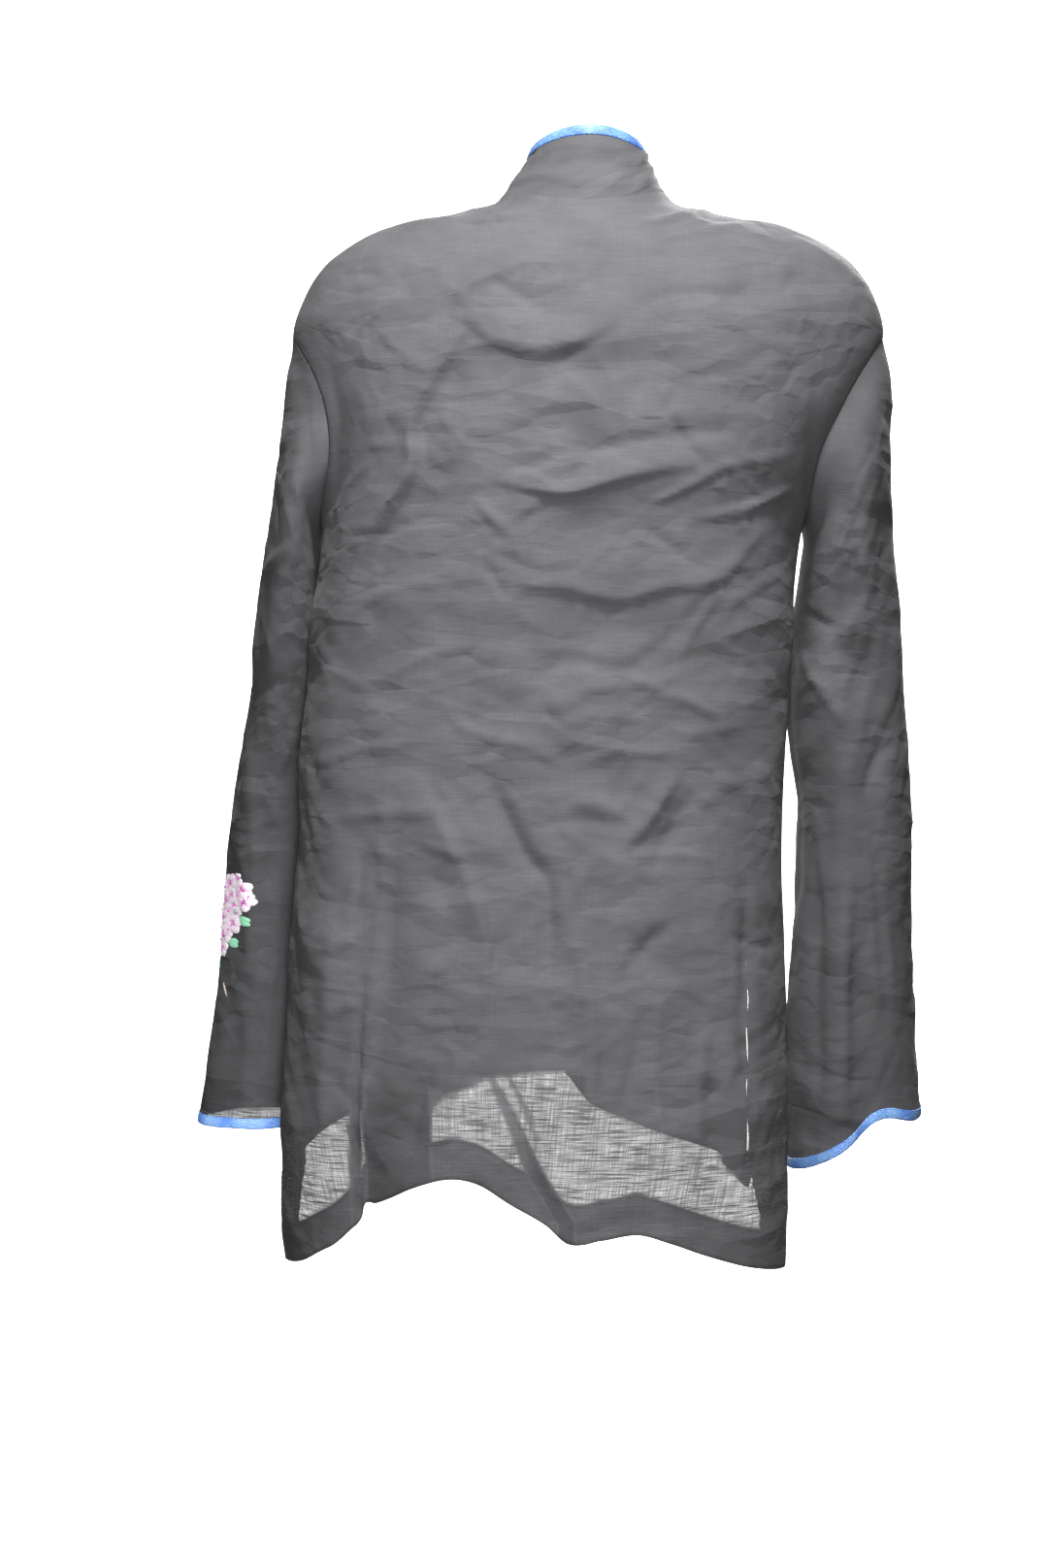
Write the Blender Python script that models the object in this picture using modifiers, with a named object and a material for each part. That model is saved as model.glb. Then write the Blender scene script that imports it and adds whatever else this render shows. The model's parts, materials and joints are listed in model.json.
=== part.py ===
"""A long-sleeved tunic blouse with a stand collar, satin bindings and side vents, as it is worn.

Metres, +Z up. The wearer faces -Y, and the wearer's left is +X. The origin is the middle of the
neck opening, level with the side-neck ends of the shoulder seams. Run it with
blender --background --python part.py, or from Blender's text editor.
"""
import math

import bpy
from mathutils import Vector

# Cloth, seams and trims
CLOTH = 0.0012            # wall of one layer of linen
HEM_CLOTH = 0.0024        # wall where the cloth is turned up or turned in
SEAM_GAP = 0.0003         # space left between two pieces at a seam
HEM_DEPTH = 0.035         # height of the turned hem
SATIN = 0.0008            # wall of the satin binding
BINDING_WIDTH = 0.0070    # how far the binding reaches down each side of an edge
BINDING_CLEARANCE = 0.0005

# Main heights
HEM_LEVEL = -0.785        # lowest level of the torso table
SHOULDER_LEVEL = -0.108   # outer end of the shoulder seam, top of the armhole
UNDERARM_LEVEL = -0.240   # bottom of the armhole, top of the side seam
VENT_LEVEL = -0.560       # top of the side vents
NECK_DROP_BACK = 0.017    # how far the neck seam dips at centre back
NECK_DROP_FRONT = 0.060   # how far it dips at centre front
NECK_DROP_END = -0.160    # level where the dips have died out
NECK_FADE_POWER = 2       # how early they fade
ARMHOLE_SPREAD = 27.0     # half the armhole's opening, in degrees round the torso
VENT_CURVE = 0.8          # below 1 the vents part sooner than a straight cut

# Folds of the torso
FOLD_END = 0.12           # share of a half wave by which a fold starts and ends raised
FOLD_START_LEVEL = -0.02  # no fold is raised above this level
FOLD_START_DEPTH = 0.09   # and over this height they come in
FACING_POWER = 0.5        # how much of the side faces sideways rather than back or front
SIDE_LEAN = 0.3           # how far the outward direction leans sideways near the sides

# Torso sections, from the neck seam down to the hem. Columns: level, centre_x, half_width,
# back_depth, front_depth, back_power, front_power
TORSO = (
    (0.000, 0.001, 0.0600, 0.055, 0.068, 2.0, 2.0),
    (-0.010, 0.001, 0.0710, 0.061, 0.070, 2.0, 2.0),
    (-0.0175, 0.000, 0.1000, 0.067, 0.072, 2.0, 2.0),
    (-0.024, -0.001, 0.1400, 0.073, 0.074, 2.0, 2.0),
    (-0.031, -0.001, 0.1610, 0.078, 0.076, 2.0, 2.0),
    (-0.042, -0.002, 0.1800, 0.086, 0.079, 2.1, 2.0),
    (-0.056, -0.002, 0.1965, 0.094, 0.083, 2.2, 2.1),
    (-0.078, -0.002, 0.2100, 0.102, 0.088, 2.3, 2.2),
    (-0.108, -0.001, 0.2175, 0.110, 0.095, 2.4, 2.3),
    (-0.160, 0.003, 0.2060, 0.118, 0.106, 2.4, 2.3),
    (-0.200, 0.010, 0.1910, 0.121, 0.115, 2.4, 2.2),
    (-0.240, 0.017, 0.1790, 0.122, 0.119, 2.4, 2.1),
    (-0.270, 0.021, 0.1765, 0.122, 0.120, 2.4, 2.0),
    (-0.310, 0.025, 0.1765, 0.121, 0.119, 2.5, 2.0),
    (-0.360, 0.028, 0.1775, 0.119, 0.117, 2.5, 2.0),
    (-0.420, 0.033, 0.1790, 0.120, 0.119, 2.5, 2.0),
    (-0.480, 0.034, 0.1775, 0.122, 0.122, 2.6, 2.0),
    (-0.560, 0.037, 0.1820, 0.126, 0.126, 2.6, 2.0),
    (-0.640, 0.038, 0.1850, 0.129, 0.129, 2.7, 2.0),
    (-0.700, 0.039, 0.1860, 0.131, 0.131, 2.7, 2.0),
    (-0.785, 0.037, 0.1840, 0.134, 0.134, 2.7, 2.0),
)

# Hem heights across each panel. Columns: side, which is +1 at the wearer's left seam and -1 at
# the right one, and height
BACK_HEM = (
    (-1.00, -0.783), (-0.80, -0.772), (-0.62, -0.760), (-0.50, -0.751), (-0.38, -0.744),
    (-0.24, -0.747), (-0.12, -0.749), (-0.04, -0.737), (0.08, -0.724), (0.20, -0.710),
    (0.31, -0.706), (0.44, -0.712), (0.60, -0.727), (0.70, -0.740), (0.80, -0.763), (0.90, -0.775),
    (1.00, -0.782),
)
FRONT_HEM_LEFT = (
    (-0.50, -0.664), (0.00, -0.665), (0.22, -0.670), (0.42, -0.684), (0.70, -0.690), (0.85, -0.700),
    (1.00, -0.722),
)
FRONT_HEM_RIGHT = (
    (-1.00, -0.752), (-0.86, -0.742), (-0.60, -0.717), (-0.38, -0.702), (-0.22, -0.690),
    (0.10, -0.676), (0.60, -0.676),
)

# How far each panel's vent edge turns away from the side seam at the hem, in degrees. Columns:
# side, back_turn, front_turn
VENTS = (
    (1, 14.0, 16.0),
    (-1, 18.0, 27.0),
)

# Large soft folds of the torso: bowed lines through three points, in millimetres. Columns:
# start_x, start_z, middle_x, middle_z, end_x, end_z, half_width, height
BACK_FOLDS = (
    (80, -112, 36, -136, -54, -112, 20, 3.0),
    (72, -128, 20, -152, -50, -128, 18, -3.0),
    (96, -122, 128, -200, 172, -330, 20, -4.5),
    (126, -130, 148, -190, 168, -270, 22, 3.5),
    (66, -236, -20, -226, -130, -212, 24, 4.0),
    (56, -262, 0, -256, -84, -236, 18, -2.5),
    (40, -290, -20, -300, -88, -290, 20, 2.5),
    (52, -304, 20, -318, -24, -316, 18, -2.5),
    (-30, -316, 18, -350, 46, -372, 20, -3.0),
    (30, -366, 4, -384, -22, -398, 24, 3.5),
    (-64, -378, -86, -384, -104, -390, 16, 3.0),
    (70, -430, 40, -498, 26, -560, 20, -3.5),
    (-72, -440, -62, -464, -48, -490, 20, -3.0),
    (-54, -536, -44, -550, -30, -562, 18, -3.0),
    (150, -420, 146, -560, 156, -690, 20, -6.0),
    (176, -420, 182, -560, 190, -690, 24, 4.0),
    (112, -600, 120, -650, 128, -700, 14, -4.0),
    (156, -690, 158, -740, 158, -790, 16, -11.0),
    (-36, -600, -30, -650, -24, -700, 20, -3.0),
    (60, -640, 46, -690, 26, -750, 16, -5.0),
    (6, -700, 8, -730, 12, -780, 22, 5.0),
    (-70, -690, -74, -730, -78, -790, 24, -4.0),
    (-118, -600, -120, -690, -122, -790, 26, 4.0),
    (-166, -60, -158, -130, -162, -220, 15, -6.0),
    (184, -60, 176, -130, 184, -220, 15, -6.0),
)
FRONT_FOLDS = (
    (150, -130, 120, -200, 92, -290, 22, -3.5),
    (-150, -130, -122, -210, -100, -300, 22, -4.0),
    (130, -260, 100, -360, 96, -470, 22, -3.5),
    (-112, -300, -96, -400, -84, -520, 22, -3.0),
    (168, -330, 150, -430, 146, -560, 22, 3.5),
    (-60, -140, -84, -170, -130, -186, 18, 3.0),
    (60, -150, 86, -182, 140, -206, 18, 3.0),
    (120, -480, 126, -590, 130, -700, 22, -6.0),
    (70, -500, 72, -600, 74, -690, 22, 4.0),
    (-56, -480, -54, -600, -50, -720, 22, -5.0),
    (-92, -500, -96, -620, -100, -740, 22, 4.5),
    (-30, -330, -50, -352, -90, -356, 18, -2.5),
    (34, -300, 66, -322, 110, -318, 18, -2.5),
    (-158, -80, -152, -140, -156, -220, 15, -5.0),
    (166, -80, 164, -140, 176, -220, 15, -5.0),
)

# Sleeve rings from the armhole to the cuff. X is outward from the wearer's middle on either side.
# Columns: outer_x, outer_z, inner_x, inner_z, centre_y, half_depth, wave
RINGS_LEFT = (
    (0.2170, -0.108, 0.1965, -0.240, 0.000, 0.062, 0.000),
    (0.2190, -0.136, 0.2000, -0.256, -0.006, 0.068, 0.000),
    (0.2235, -0.176, 0.2015, -0.276, -0.015, 0.073, 0.000),
    (0.2345, -0.232, 0.2025, -0.306, -0.028, 0.073, 0.000),
    (0.2460, -0.300, 0.2030, -0.345, -0.044, 0.068, 0.000),
    (0.2570, -0.372, 0.2040, -0.394, -0.062, 0.062, 0.000),
    (0.2710, -0.440, 0.2060, -0.450, -0.079, 0.057, 0.000),
    (0.2800, -0.516, 0.2060, -0.518, -0.091, 0.054, 0.000),
    (0.2870, -0.606, 0.2040, -0.606, -0.097, 0.055, 0.000),
    (0.3020, -0.699, 0.2040, -0.697, -0.100, 0.057, 0.000),
)
RINGS_RIGHT = (
    (0.2175, -0.108, 0.1620, -0.240, 0.000, 0.062, 0.000),
    (0.2240, -0.138, 0.1630, -0.258, -0.006, 0.067, 0.000),
    (0.2260, -0.182, 0.1605, -0.281, -0.015, 0.071, 0.000),
    (0.2300, -0.243, 0.1570, -0.314, -0.027, 0.070, 0.000),
    (0.2385, -0.312, 0.1545, -0.358, -0.037, 0.065, 0.000),
    (0.2440, -0.382, 0.1585, -0.408, -0.042, 0.060, 0.000),
    (0.2470, -0.446, 0.1640, -0.456, -0.046, 0.057, 0.000),
    (0.2490, -0.520, 0.1620, -0.530, -0.051, 0.056, 0.000),
    (0.2520, -0.604, 0.1560, -0.618, -0.057, 0.057, 0.005),
    (0.2575, -0.688, 0.1560, -0.729, -0.062, 0.058, 0.017),
)
CUFF_WAVE_TURN = 76.0          # where the raised wave of the cuff lies, in degrees
CUFF_WAVE_WIDTH = 30.0
SEAM_REACH_OUTER = 0.34        # share of the sleeve over which it leaves the armhole's curve
SEAM_REACH_INNER = 0.12
SLEEVE_FOLD_END = 0.06         # share of the sleeve over which a fold fades past its ends
SLEEVE_FOLD_START = 0.12       # share of the sleeve over which folds come in below the armhole

# Long soft folds of the sleeves: degrees round the sleeve (0 outward, 90 back), shares of its
# length, height in millimetres. Columns: start_turn, start_share, end_turn, end_share, half_turn,
# height
SLEEVE_FOLDS_LEFT = (
    (60, 0.02, 40, 0.40, 22, -3.5),
    (20, 0.10, 34, 0.55, 20, 3.0),
    (80, 0.30, 60, 0.72, 22, 3.0),
    (30, 0.60, 66, 1.00, 22, -4.0),
    (250, 0.05, 280, 0.60, 24, -3.5),
    (320, 0.20, 300, 1.00, 24, 3.5),
    (240, 0.55, 230, 1.00, 22, -4.0),
)
SLEEVE_FOLDS_RIGHT = (
    (120, 0.10, 100, 0.36, 20, -3.0),
    (70, 0.05, 84, 0.40, 22, 3.0),
    (116, 0.40, 74, 0.52, 18, -3.5),
    (128, 0.47, 84, 0.66, 20, 3.5),
    (86, 0.64, 84, 1.00, 18, -5.0),
    (112, 0.64, 112, 1.00, 18, 3.5),
    (250, 0.05, 284, 0.60, 24, -3.5),
    (318, 0.20, 300, 1.00, 24, 3.5),
    (244, 0.60, 236, 1.00, 22, -4.0),
)

# Stand collar: its top edge is smaller than the neck seam and slopes down to the front
COLLAR_TOP_WIDTH = 0.0420      # half of it
COLLAR_TOP_SHIFT = -0.0015     # its middle leans to the wearer's right
COLLAR_TOP_BACK = 0.0420
COLLAR_TOP_FRONT = 0.0520
COLLAR_TOP_SIDE_LEVEL = 0.033
COLLAR_TOP_BACK_LEVEL = 0.040
COLLAR_TOP_FRONT_LEVEL = -0.012
COLLAR_BULGE = 0.0015          # how far the stand rounds out half way up
COLLAR_FRONT_GAP = 3.0         # half the opening between its front ends, in degrees

# Centre front
FRONT_EDGE = 0.013             # the right front's edge, past the middle
UNDERLAP_EDGE = -0.017         # the left front's edge, under it
UNDERLAP_BLEND = 0.030         # over this width the left front drops under the right one
UNDERLAP_DEPTH = 0.0026
BUTTON_RADIUS = 0.0055
BUTTON_THICKNESS = 0.0022
BUTTON_EDGE = 0.0006           # its bevel
BUTTON_SIDES = 16
BUTTON_STEP = 0.010            # height over which the cloth's slope under it is taken
BUTTON_LEVELS = (-0.100, -0.198, -0.296, -0.394, -0.492, -0.590)

# Mesh spacing
BACK_COLUMNS = 32
FRONT_COLUMNS = 16
NECK_ROWS = (0.000, -0.007, -0.014, -0.022, -0.031, -0.042, -0.056, -0.072, -0.087, -0.099)
ARMHOLE_ROWS = 9
SIDE_ROWS = 12
SIDE_ROW_POWER = 1.5           # above 1 the rows lie closer together below the armhole
VENT_ROWS = 6
VENT_FACING_COLUMNS = 2
SLEEVE_ROWS = 20
SLEEVE_ROW_POWER = 1.15        # above 1 the rings lie closer together near the armhole
COLLAR_COLUMNS = 26
COLLAR_ROWS = 3
FRONT_SEARCH = (-150.0, -30.0)  # angles between which a front's centre edge is looked for
FRONT_SEARCH_STEPS = 40

# Colours, roughness
LINEN = ((0.145, 0.145, 0.150, 1.0), 0.85)
SATIN_BLUE = ((0.035, 0.140, 0.720, 1.0), 0.35)
HORN = ((0.030, 0.030, 0.032, 1.0), 0.40)


def clear_scene():
    """Remove whatever the file holds."""
    for old in list(bpy.data.objects):
        bpy.data.objects.remove(old, do_unlink=True)


def smooth_row(table, value):
    """Read a table at a value of its first column, smoothly between its rows."""
    ascending = table[0][0] < table[-1][0]
    rows = table if ascending else table[::-1]
    value = min(max(value, rows[0][0]), rows[-1][0])
    index = 0
    while index < len(rows) - 2 and value > rows[index + 1][0]:
        index += 1
    low, high = rows[index], rows[index + 1]
    before = rows[index - 1] if index > 0 else low
    after = rows[index + 2] if index + 2 < len(rows) else high
    span = high[0] - low[0]
    share = (value - low[0]) / span
    result = []
    for column in range(1, len(low)):
        slope_low = (high[column] - before[column]) / (high[0] - before[0]) * span
        slope_high = (after[column] - low[column]) / (after[0] - low[0]) * span
        result.append(
            low[column] * (2 * share ** 3 - 3 * share ** 2 + 1)
            + slope_low * (share ** 3 - 2 * share ** 2 + share)
            + high[column] * (3 * share ** 2 - 2 * share ** 3)
            + slope_high * (share ** 3 - share ** 2))
    return result


def signed_power(value, power):
    return math.copysign(abs(value) ** power, value)


def ease(share):
    """A smooth step from 0 to 1."""
    share = min(max(share, 0.0), 1.0)
    return share * share * (3.0 - 2.0 * share)


def fold_height(folds, x, z):
    """Sum of the folds at a place seen from behind or in front, in metres."""
    total = 0.0
    for start_x, start_z, middle_x, middle_z, end_x, end_z, half_width, height in folds:
        corners = ((start_x, start_z), (middle_x, middle_z), (end_x, end_z))
        nearest = None
        for leg in range(2):
            (ax, az), (bx, bz) = corners[leg], corners[leg + 1]
            length_squared = (bx - ax) ** 2 + (bz - az) ** 2
            share = ((x * 1000 - ax) * (bx - ax) + (z * 1000 - az) * (bz - az)) / length_squared
            share = min(max(share, 0.0), 1.0)
            distance = math.hypot(x * 1000 - ax - share * (bx - ax),
                                  z * 1000 - az - share * (bz - az))
            if nearest is None or distance < nearest[0]:
                nearest = (distance, (leg + share) / 2)
        distance, along = nearest
        fade = math.sin(math.pi * (FOLD_END + (1.0 - 2 * FOLD_END) * along))
        total += height * fade * math.exp(-(distance / half_width) ** 2) / 1000
    return total


def hem_height(side, panel):
    """Height of a panel's hem, from side -1 to side 1."""
    hems = {0: BACK_HEM, 1: FRONT_HEM_LEFT, -1: FRONT_HEM_RIGHT}
    return smooth_row(hems[panel], side)[0]


def torso_point(level, angle, panel, lift=0.0):
    """A point of the torso's outer surface.

    The angle is in degrees, 0 at the wearer's left side, 90 at centre back, 180 at the right side
    and -90 at centre front. The panel is 0 for the back, 1 for the left front, -1 for the right.
    """
    sine = math.sin(math.radians(angle))
    cosine = math.cos(math.radians(angle))
    back = panel == 0
    if level > VENT_LEVEL:
        height = level
    else:
        power = smooth_row(TORSO, level)[4 if back else 5]
        side = signed_power(cosine, 2.0 / power)
        share = (level - VENT_LEVEL) / (HEM_LEVEL - VENT_LEVEL)
        height = VENT_LEVEL + share * (hem_height(side, panel) - VENT_LEVEL)
    section = smooth_row(TORSO, height)
    centre_x, half_width, back_depth, front_depth, back_power, front_power = section
    depth, power = (back_depth, back_power) if sine >= 0 else (front_depth, front_power)
    x = centre_x + half_width * signed_power(cosine, 2.0 / power)
    y = depth * signed_power(sine, 2.0 / power)
    if level > NECK_DROP_END:
        fade = (1.0 - level / NECK_DROP_END) ** NECK_FADE_POWER
        drop = NECK_DROP_BACK if sine >= 0 else NECK_DROP_FRONT
        height -= drop * sine * sine * fade
    facing = abs(sine) ** FACING_POWER
    out_x = cosine * (1.0 - facing + SIDE_LEAN)
    out_y = math.copysign(facing, sine)
    outward = Vector((out_x, out_y, 0.0)).normalized()
    calm = ease((FOLD_START_LEVEL - level) / FOLD_START_DEPTH)
    raised = fold_height(BACK_FOLDS if back else FRONT_FOLDS, x, height) * calm * facing
    return Vector((x, y, height)) + outward * (raised + lift)


def armhole_levels():
    """Levels of the torso's rows through the armhole, closer together at its top and bottom."""
    middle = (SHOULDER_LEVEL + UNDERARM_LEVEL) / 2
    reach = (SHOULDER_LEVEL - UNDERARM_LEVEL) / 2
    return [middle + reach * math.cos(math.pi * step / ARMHOLE_ROWS)
            for step in range(ARMHOLE_ROWS + 1)]


def torso_levels():
    """Levels of all rows of the torso, from the neck seam to the hem."""
    levels = list(NECK_ROWS) + armhole_levels()
    for step in range(1, SIDE_ROWS + 1):
        share = (step / SIDE_ROWS) ** SIDE_ROW_POWER
        levels.append(UNDERARM_LEVEL + (VENT_LEVEL - UNDERARM_LEVEL) * share)
    hem_top = HEM_LEVEL + HEM_DEPTH
    for step in range(1, VENT_ROWS):
        levels.append(VENT_LEVEL + (hem_top - VENT_LEVEL) * step / (VENT_ROWS - 1))
    return levels + [HEM_LEVEL]


def edge_turn(level, side, back):
    """How far a panel's edge lies from the side line, in degrees, at a level."""
    if SHOULDER_LEVEL > level > UNDERARM_LEVEL:
        middle = (SHOULDER_LEVEL + UNDERARM_LEVEL) / 2
        reach = (SHOULDER_LEVEL - UNDERARM_LEVEL) / 2
        inside = max(0.0, 1.0 - ((level - middle) / reach) ** 2)
        return ARMHOLE_SPREAD * math.sqrt(inside)
    if level < VENT_LEVEL:
        share = (VENT_LEVEL - level) / (VENT_LEVEL - HEM_LEVEL)
        for vent_side, back_turn, front_turn in VENTS:
            if vent_side == side:
                return (back_turn if back else front_turn) * share ** VENT_CURVE
    return 0.0


def add_material(name, look):
    colour, roughness = look
    material = bpy.data.materials.new(name)
    material.use_nodes = True
    shader = material.node_tree.nodes["Principled BSDF"]
    shader.inputs["Base Color"].default_value = colour
    shader.inputs["Roughness"].default_value = roughness
    shader.inputs["Metallic"].default_value = 0.0
    material.diffuse_color = colour
    return material


def add_object(name, mesh, look, collection):
    piece = bpy.data.objects.new(name, mesh)
    collection.objects.link(piece)
    piece.data.materials.append(add_material(name, look))
    return piece


def add_wall(name, grid, look, collection, closed=False, wall=CLOTH, turned=None, outside=False):
    """A cloth wall through rows of points, its thickness laid inside them (or outside).

    Where turned says so of a row and column, the wall is as thick as a turned hem.
    """
    rows = len(grid)
    columns = len(grid[0])
    points = [point for row in grid for point in row]
    last = columns if closed else columns - 1
    faces = []
    for row in range(rows - 1):
        for column in range(last):
            beside = (column + 1) % columns
            faces.append((row * columns + column, (row + 1) * columns + column,
                          (row + 1) * columns + beside, row * columns + beside))
    mesh = bpy.data.meshes.new(name)
    mesh.from_pydata([tuple(point) for point in points], [], faces)
    mesh.shade_smooth()
    mesh.update()
    piece = add_object(name, mesh, look, collection)
    thicken = piece.modifiers.new("Cloth", "SOLIDIFY")
    thicken.thickness = wall
    thicken.offset = 1.0 if outside else -1.0
    thicken.use_rim = True
    thicken.use_even_offset = False
    if turned:
        group = piece.vertex_groups.new(name="turned")
        thin = wall / HEM_CLOTH
        for index in range(len(points)):
            weight = 1.0 if turned(index // columns, index % columns) else thin
            group.add([index], weight, "REPLACE")
        thicken.thickness = HEM_CLOTH
        thicken.vertex_group = "turned"
        thicken.thickness_vertex_group = 0.0
    return piece


def draw_in(grid):
    """Shorten each row by a seam's gap at both ends, so that neighbours do not touch."""
    for row in grid:
        row[0] = row[0] + (row[1] - row[0]).normalized() * SEAM_GAP
        row[-1] = row[-1] + (row[-2] - row[-1]).normalized() * SEAM_GAP


def turned_back(row, column):
    """Whether the back's cloth is turned there: at its hem or along either vent."""
    hem = row >= len(torso_levels()) - 2
    beside_vent = min(column, BACK_COLUMNS - column) < VENT_FACING_COLUMNS
    return hem or (row >= len(torso_levels()) - VENT_ROWS and beside_vent)


def turned_front_left(row, column):
    hem = row >= len(torso_levels()) - 2
    beside_vent = FRONT_COLUMNS - column < VENT_FACING_COLUMNS
    return hem or (row >= len(torso_levels()) - VENT_ROWS and beside_vent)


def turned_front_right(row, column):
    hem = row >= len(torso_levels()) - 2
    beside_vent = column < VENT_FACING_COLUMNS
    return hem or (row >= len(torso_levels()) - VENT_ROWS and beside_vent)


def back_grid():
    grid = []
    for level in torso_levels():
        start = edge_turn(level, 1, True)
        end = 180.0 - edge_turn(level, -1, True)
        grid.append([torso_point(level, start + (end - start) * step / BACK_COLUMNS, 0)
                     for step in range(BACK_COLUMNS + 1)])
    draw_in(grid)
    return grid


def front_angle(level, x_target):
    """Angle, on the front, at which the torso's surface reaches a given x."""
    low, high = FRONT_SEARCH
    for _ in range(FRONT_SEARCH_STEPS):
        middle = (low + high) / 2
        if torso_point(level, middle, 1).x < x_target:
            low = middle
        else:
            high = middle
    return (low + high) / 2


def front_grid(side):
    """Rows of one front, from its centre edge to its side seam, running the same way round."""
    grid = []
    for level in torso_levels():
        turn = edge_turn(level, side, False)
        if side > 0:
            start, end = front_angle(level, UNDERLAP_EDGE), -turn
        else:
            start, end = -180.0 + turn, front_angle(level, FRONT_EDGE)
        row = []
        for step in range(FRONT_COLUMNS + 1):
            angle = start + (end - start) * step / FRONT_COLUMNS
            point = torso_point(level, angle, side)
            if side > 0:
                under = 1.0 - ease((point.x - FRONT_EDGE) / UNDERLAP_BLEND)
                point = torso_point(level, angle, side, -UNDERLAP_DEPTH * under)
            row.append(point)
        grid.append(row)
    draw_in(grid)
    return grid


def armhole_point(turn, side):
    """A point of the armhole's seam: turn 0 at its top, 90 at the back, 180 at the underarm."""
    middle = (SHOULDER_LEVEL + UNDERARM_LEVEL) / 2
    reach = (SHOULDER_LEVEL - UNDERARM_LEVEL) / 2
    level = middle + reach * math.cos(math.radians(turn))
    spread = ARMHOLE_SPREAD * math.sin(math.radians(turn))
    angle = spread if side > 0 else 180.0 - spread
    panel = 0 if spread >= 0 else side
    return torso_point(level, angle, panel)


def ring_point(rings, share, turn, side):
    """A point of the sleeve's own rings, at a share of its length."""
    steps = len(rings) - 1
    numbered = [(index,) + row for index, row in enumerate(rings)]
    outer_x, outer_z, inner_x, inner_z, centre_y, half_depth, wave = smooth_row(
        numbered, share * steps)
    cosine = math.cos(math.radians(turn))
    sine = math.sin(math.radians(turn))
    x = (outer_x + inner_x) / 2 + (outer_x - inner_x) / 2 * cosine
    from_wave = (turn % 360.0 - CUFF_WAVE_TURN) / CUFF_WAVE_WIDTH
    z = (outer_z + inner_z) / 2 + (outer_z - inner_z) / 2 * cosine
    z += wave * math.exp(-from_wave ** 2)
    return Vector((side * x, centre_y + half_depth * sine, z))


def sleeve_point(rings, folds, share, turn, side):
    """A point of the sleeve's outer surface, which leaves the armhole's own curve smoothly."""
    point = ring_point(rings, share, turn, side)
    top_of_arm = ring_point(rings, 0.0, turn, side)
    reach = SEAM_REACH_INNER + (SEAM_REACH_OUTER - SEAM_REACH_INNER) * (
        0.5 + 0.5 * math.cos(math.radians(turn)))
    blend = 1.0 - ease(share / reach)
    point = point + (armhole_point(turn, side) - top_of_arm) * blend
    raised = 0.0
    for start_turn, start_share, end_turn, end_share, half_turn, height in folds:
        along = (share - start_share) / (end_share - start_share)
        inside = min(max(along, 0.0), 1.0)
        aside = turn - start_turn - (end_turn - start_turn) * inside
        aside = (aside + 180.0) % 360.0 - 180.0
        past = (share - start_share - (end_share - start_share) * inside) / SLEEVE_FOLD_END
        raised += height * math.exp(-(aside / half_turn) ** 2 - past ** 2) / 1000
    raised *= ease(share / SLEEVE_FOLD_START)
    outward = Vector((side * math.cos(math.radians(turn)), math.sin(math.radians(turn)), 0.0))
    return point + outward * raised


def sleeve_grid(rings, folds, side):
    """Rings of points from the armhole to the cuff. They run the same way round on both sides."""
    grid = []
    for row in range(SLEEVE_ROWS + 1):
        share = (row / SLEEVE_ROWS) ** SLEEVE_ROW_POWER
        ring = []
        for step in range(2 * ARMHOLE_ROWS):
            turn = side * 180.0 * step / ARMHOLE_ROWS
            ring.append(sleeve_point(rings, folds, share, turn, side))
        grid.append(ring)
    for column, point in enumerate(grid[0]):
        grid[0][column] = point + (grid[1][column] - point).normalized() * 2 * SEAM_GAP
    return grid


def collar_point(share, angle):
    """A point of the stand's outer surface, from the neck seam (0) to its top edge (1)."""
    sine = math.sin(math.radians(angle))
    cosine = math.cos(math.radians(angle))
    base = torso_point(0.0, angle, 0 if sine >= 0 else 1)
    depth = COLLAR_TOP_BACK if sine >= 0 else COLLAR_TOP_FRONT
    end_level = COLLAR_TOP_BACK_LEVEL if sine >= 0 else COLLAR_TOP_FRONT_LEVEL
    level = COLLAR_TOP_SIDE_LEVEL + (end_level - COLLAR_TOP_SIDE_LEVEL) * sine * sine
    top = Vector((COLLAR_TOP_SHIFT + COLLAR_TOP_WIDTH * cosine, depth * sine, level))
    bulge = COLLAR_BULGE * math.sin(math.pi * share)
    return base.lerp(top, share) + Vector((cosine, sine, 0.0)) * bulge


def collar_grid():
    """Rows from the top edge down to the neck seam, so that the faces point outwards."""
    start = -90.0 + COLLAR_FRONT_GAP
    sweep = 360.0 - 2 * COLLAR_FRONT_GAP
    grid = []
    for row in range(COLLAR_ROWS + 1):
        share = 1.0 - row / COLLAR_ROWS
        grid.append([collar_point(share, start + sweep * step / COLLAR_COLUMNS)
                     for step in range(COLLAR_COLUMNS + 1)])
    for column, point in enumerate(grid[-1]):
        grid[-1][column] = point + (grid[-2][column] - point).normalized() * 3 * SEAM_GAP
    return grid


def binding_grid(edge, inside, closed):
    """A strip folded over an edge. Edge and inside are the wall's last two rows of points."""
    count = len(edge)
    outer_low, outer_top, inner_top, inner_low = [], [], [], []
    for column, point in enumerate(edge):
        before = edge[column - 1] if closed or column > 0 else point
        after = edge[(column + 1) % count] if closed or column < count - 1 else point
        away = (point - inside[column]).normalized()
        along = (after - before).normalized()
        outward = along.cross(away).normalized()
        if outward.dot(point - centre_of(edge)) < 0:
            outward = -outward
        rim = point + away * BINDING_CLEARANCE
        outer = outward * BINDING_CLEARANCE
        inner = outward * -(CLOTH + BINDING_CLEARANCE)
        low = away * -(BINDING_WIDTH + BINDING_CLEARANCE)
        outer_low.append(rim + low + outer)
        outer_top.append(rim + outer)
        inner_top.append(rim + inner)
        inner_low.append(rim + low + inner)
    return [outer_low, outer_top, inner_top, inner_low]


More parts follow.
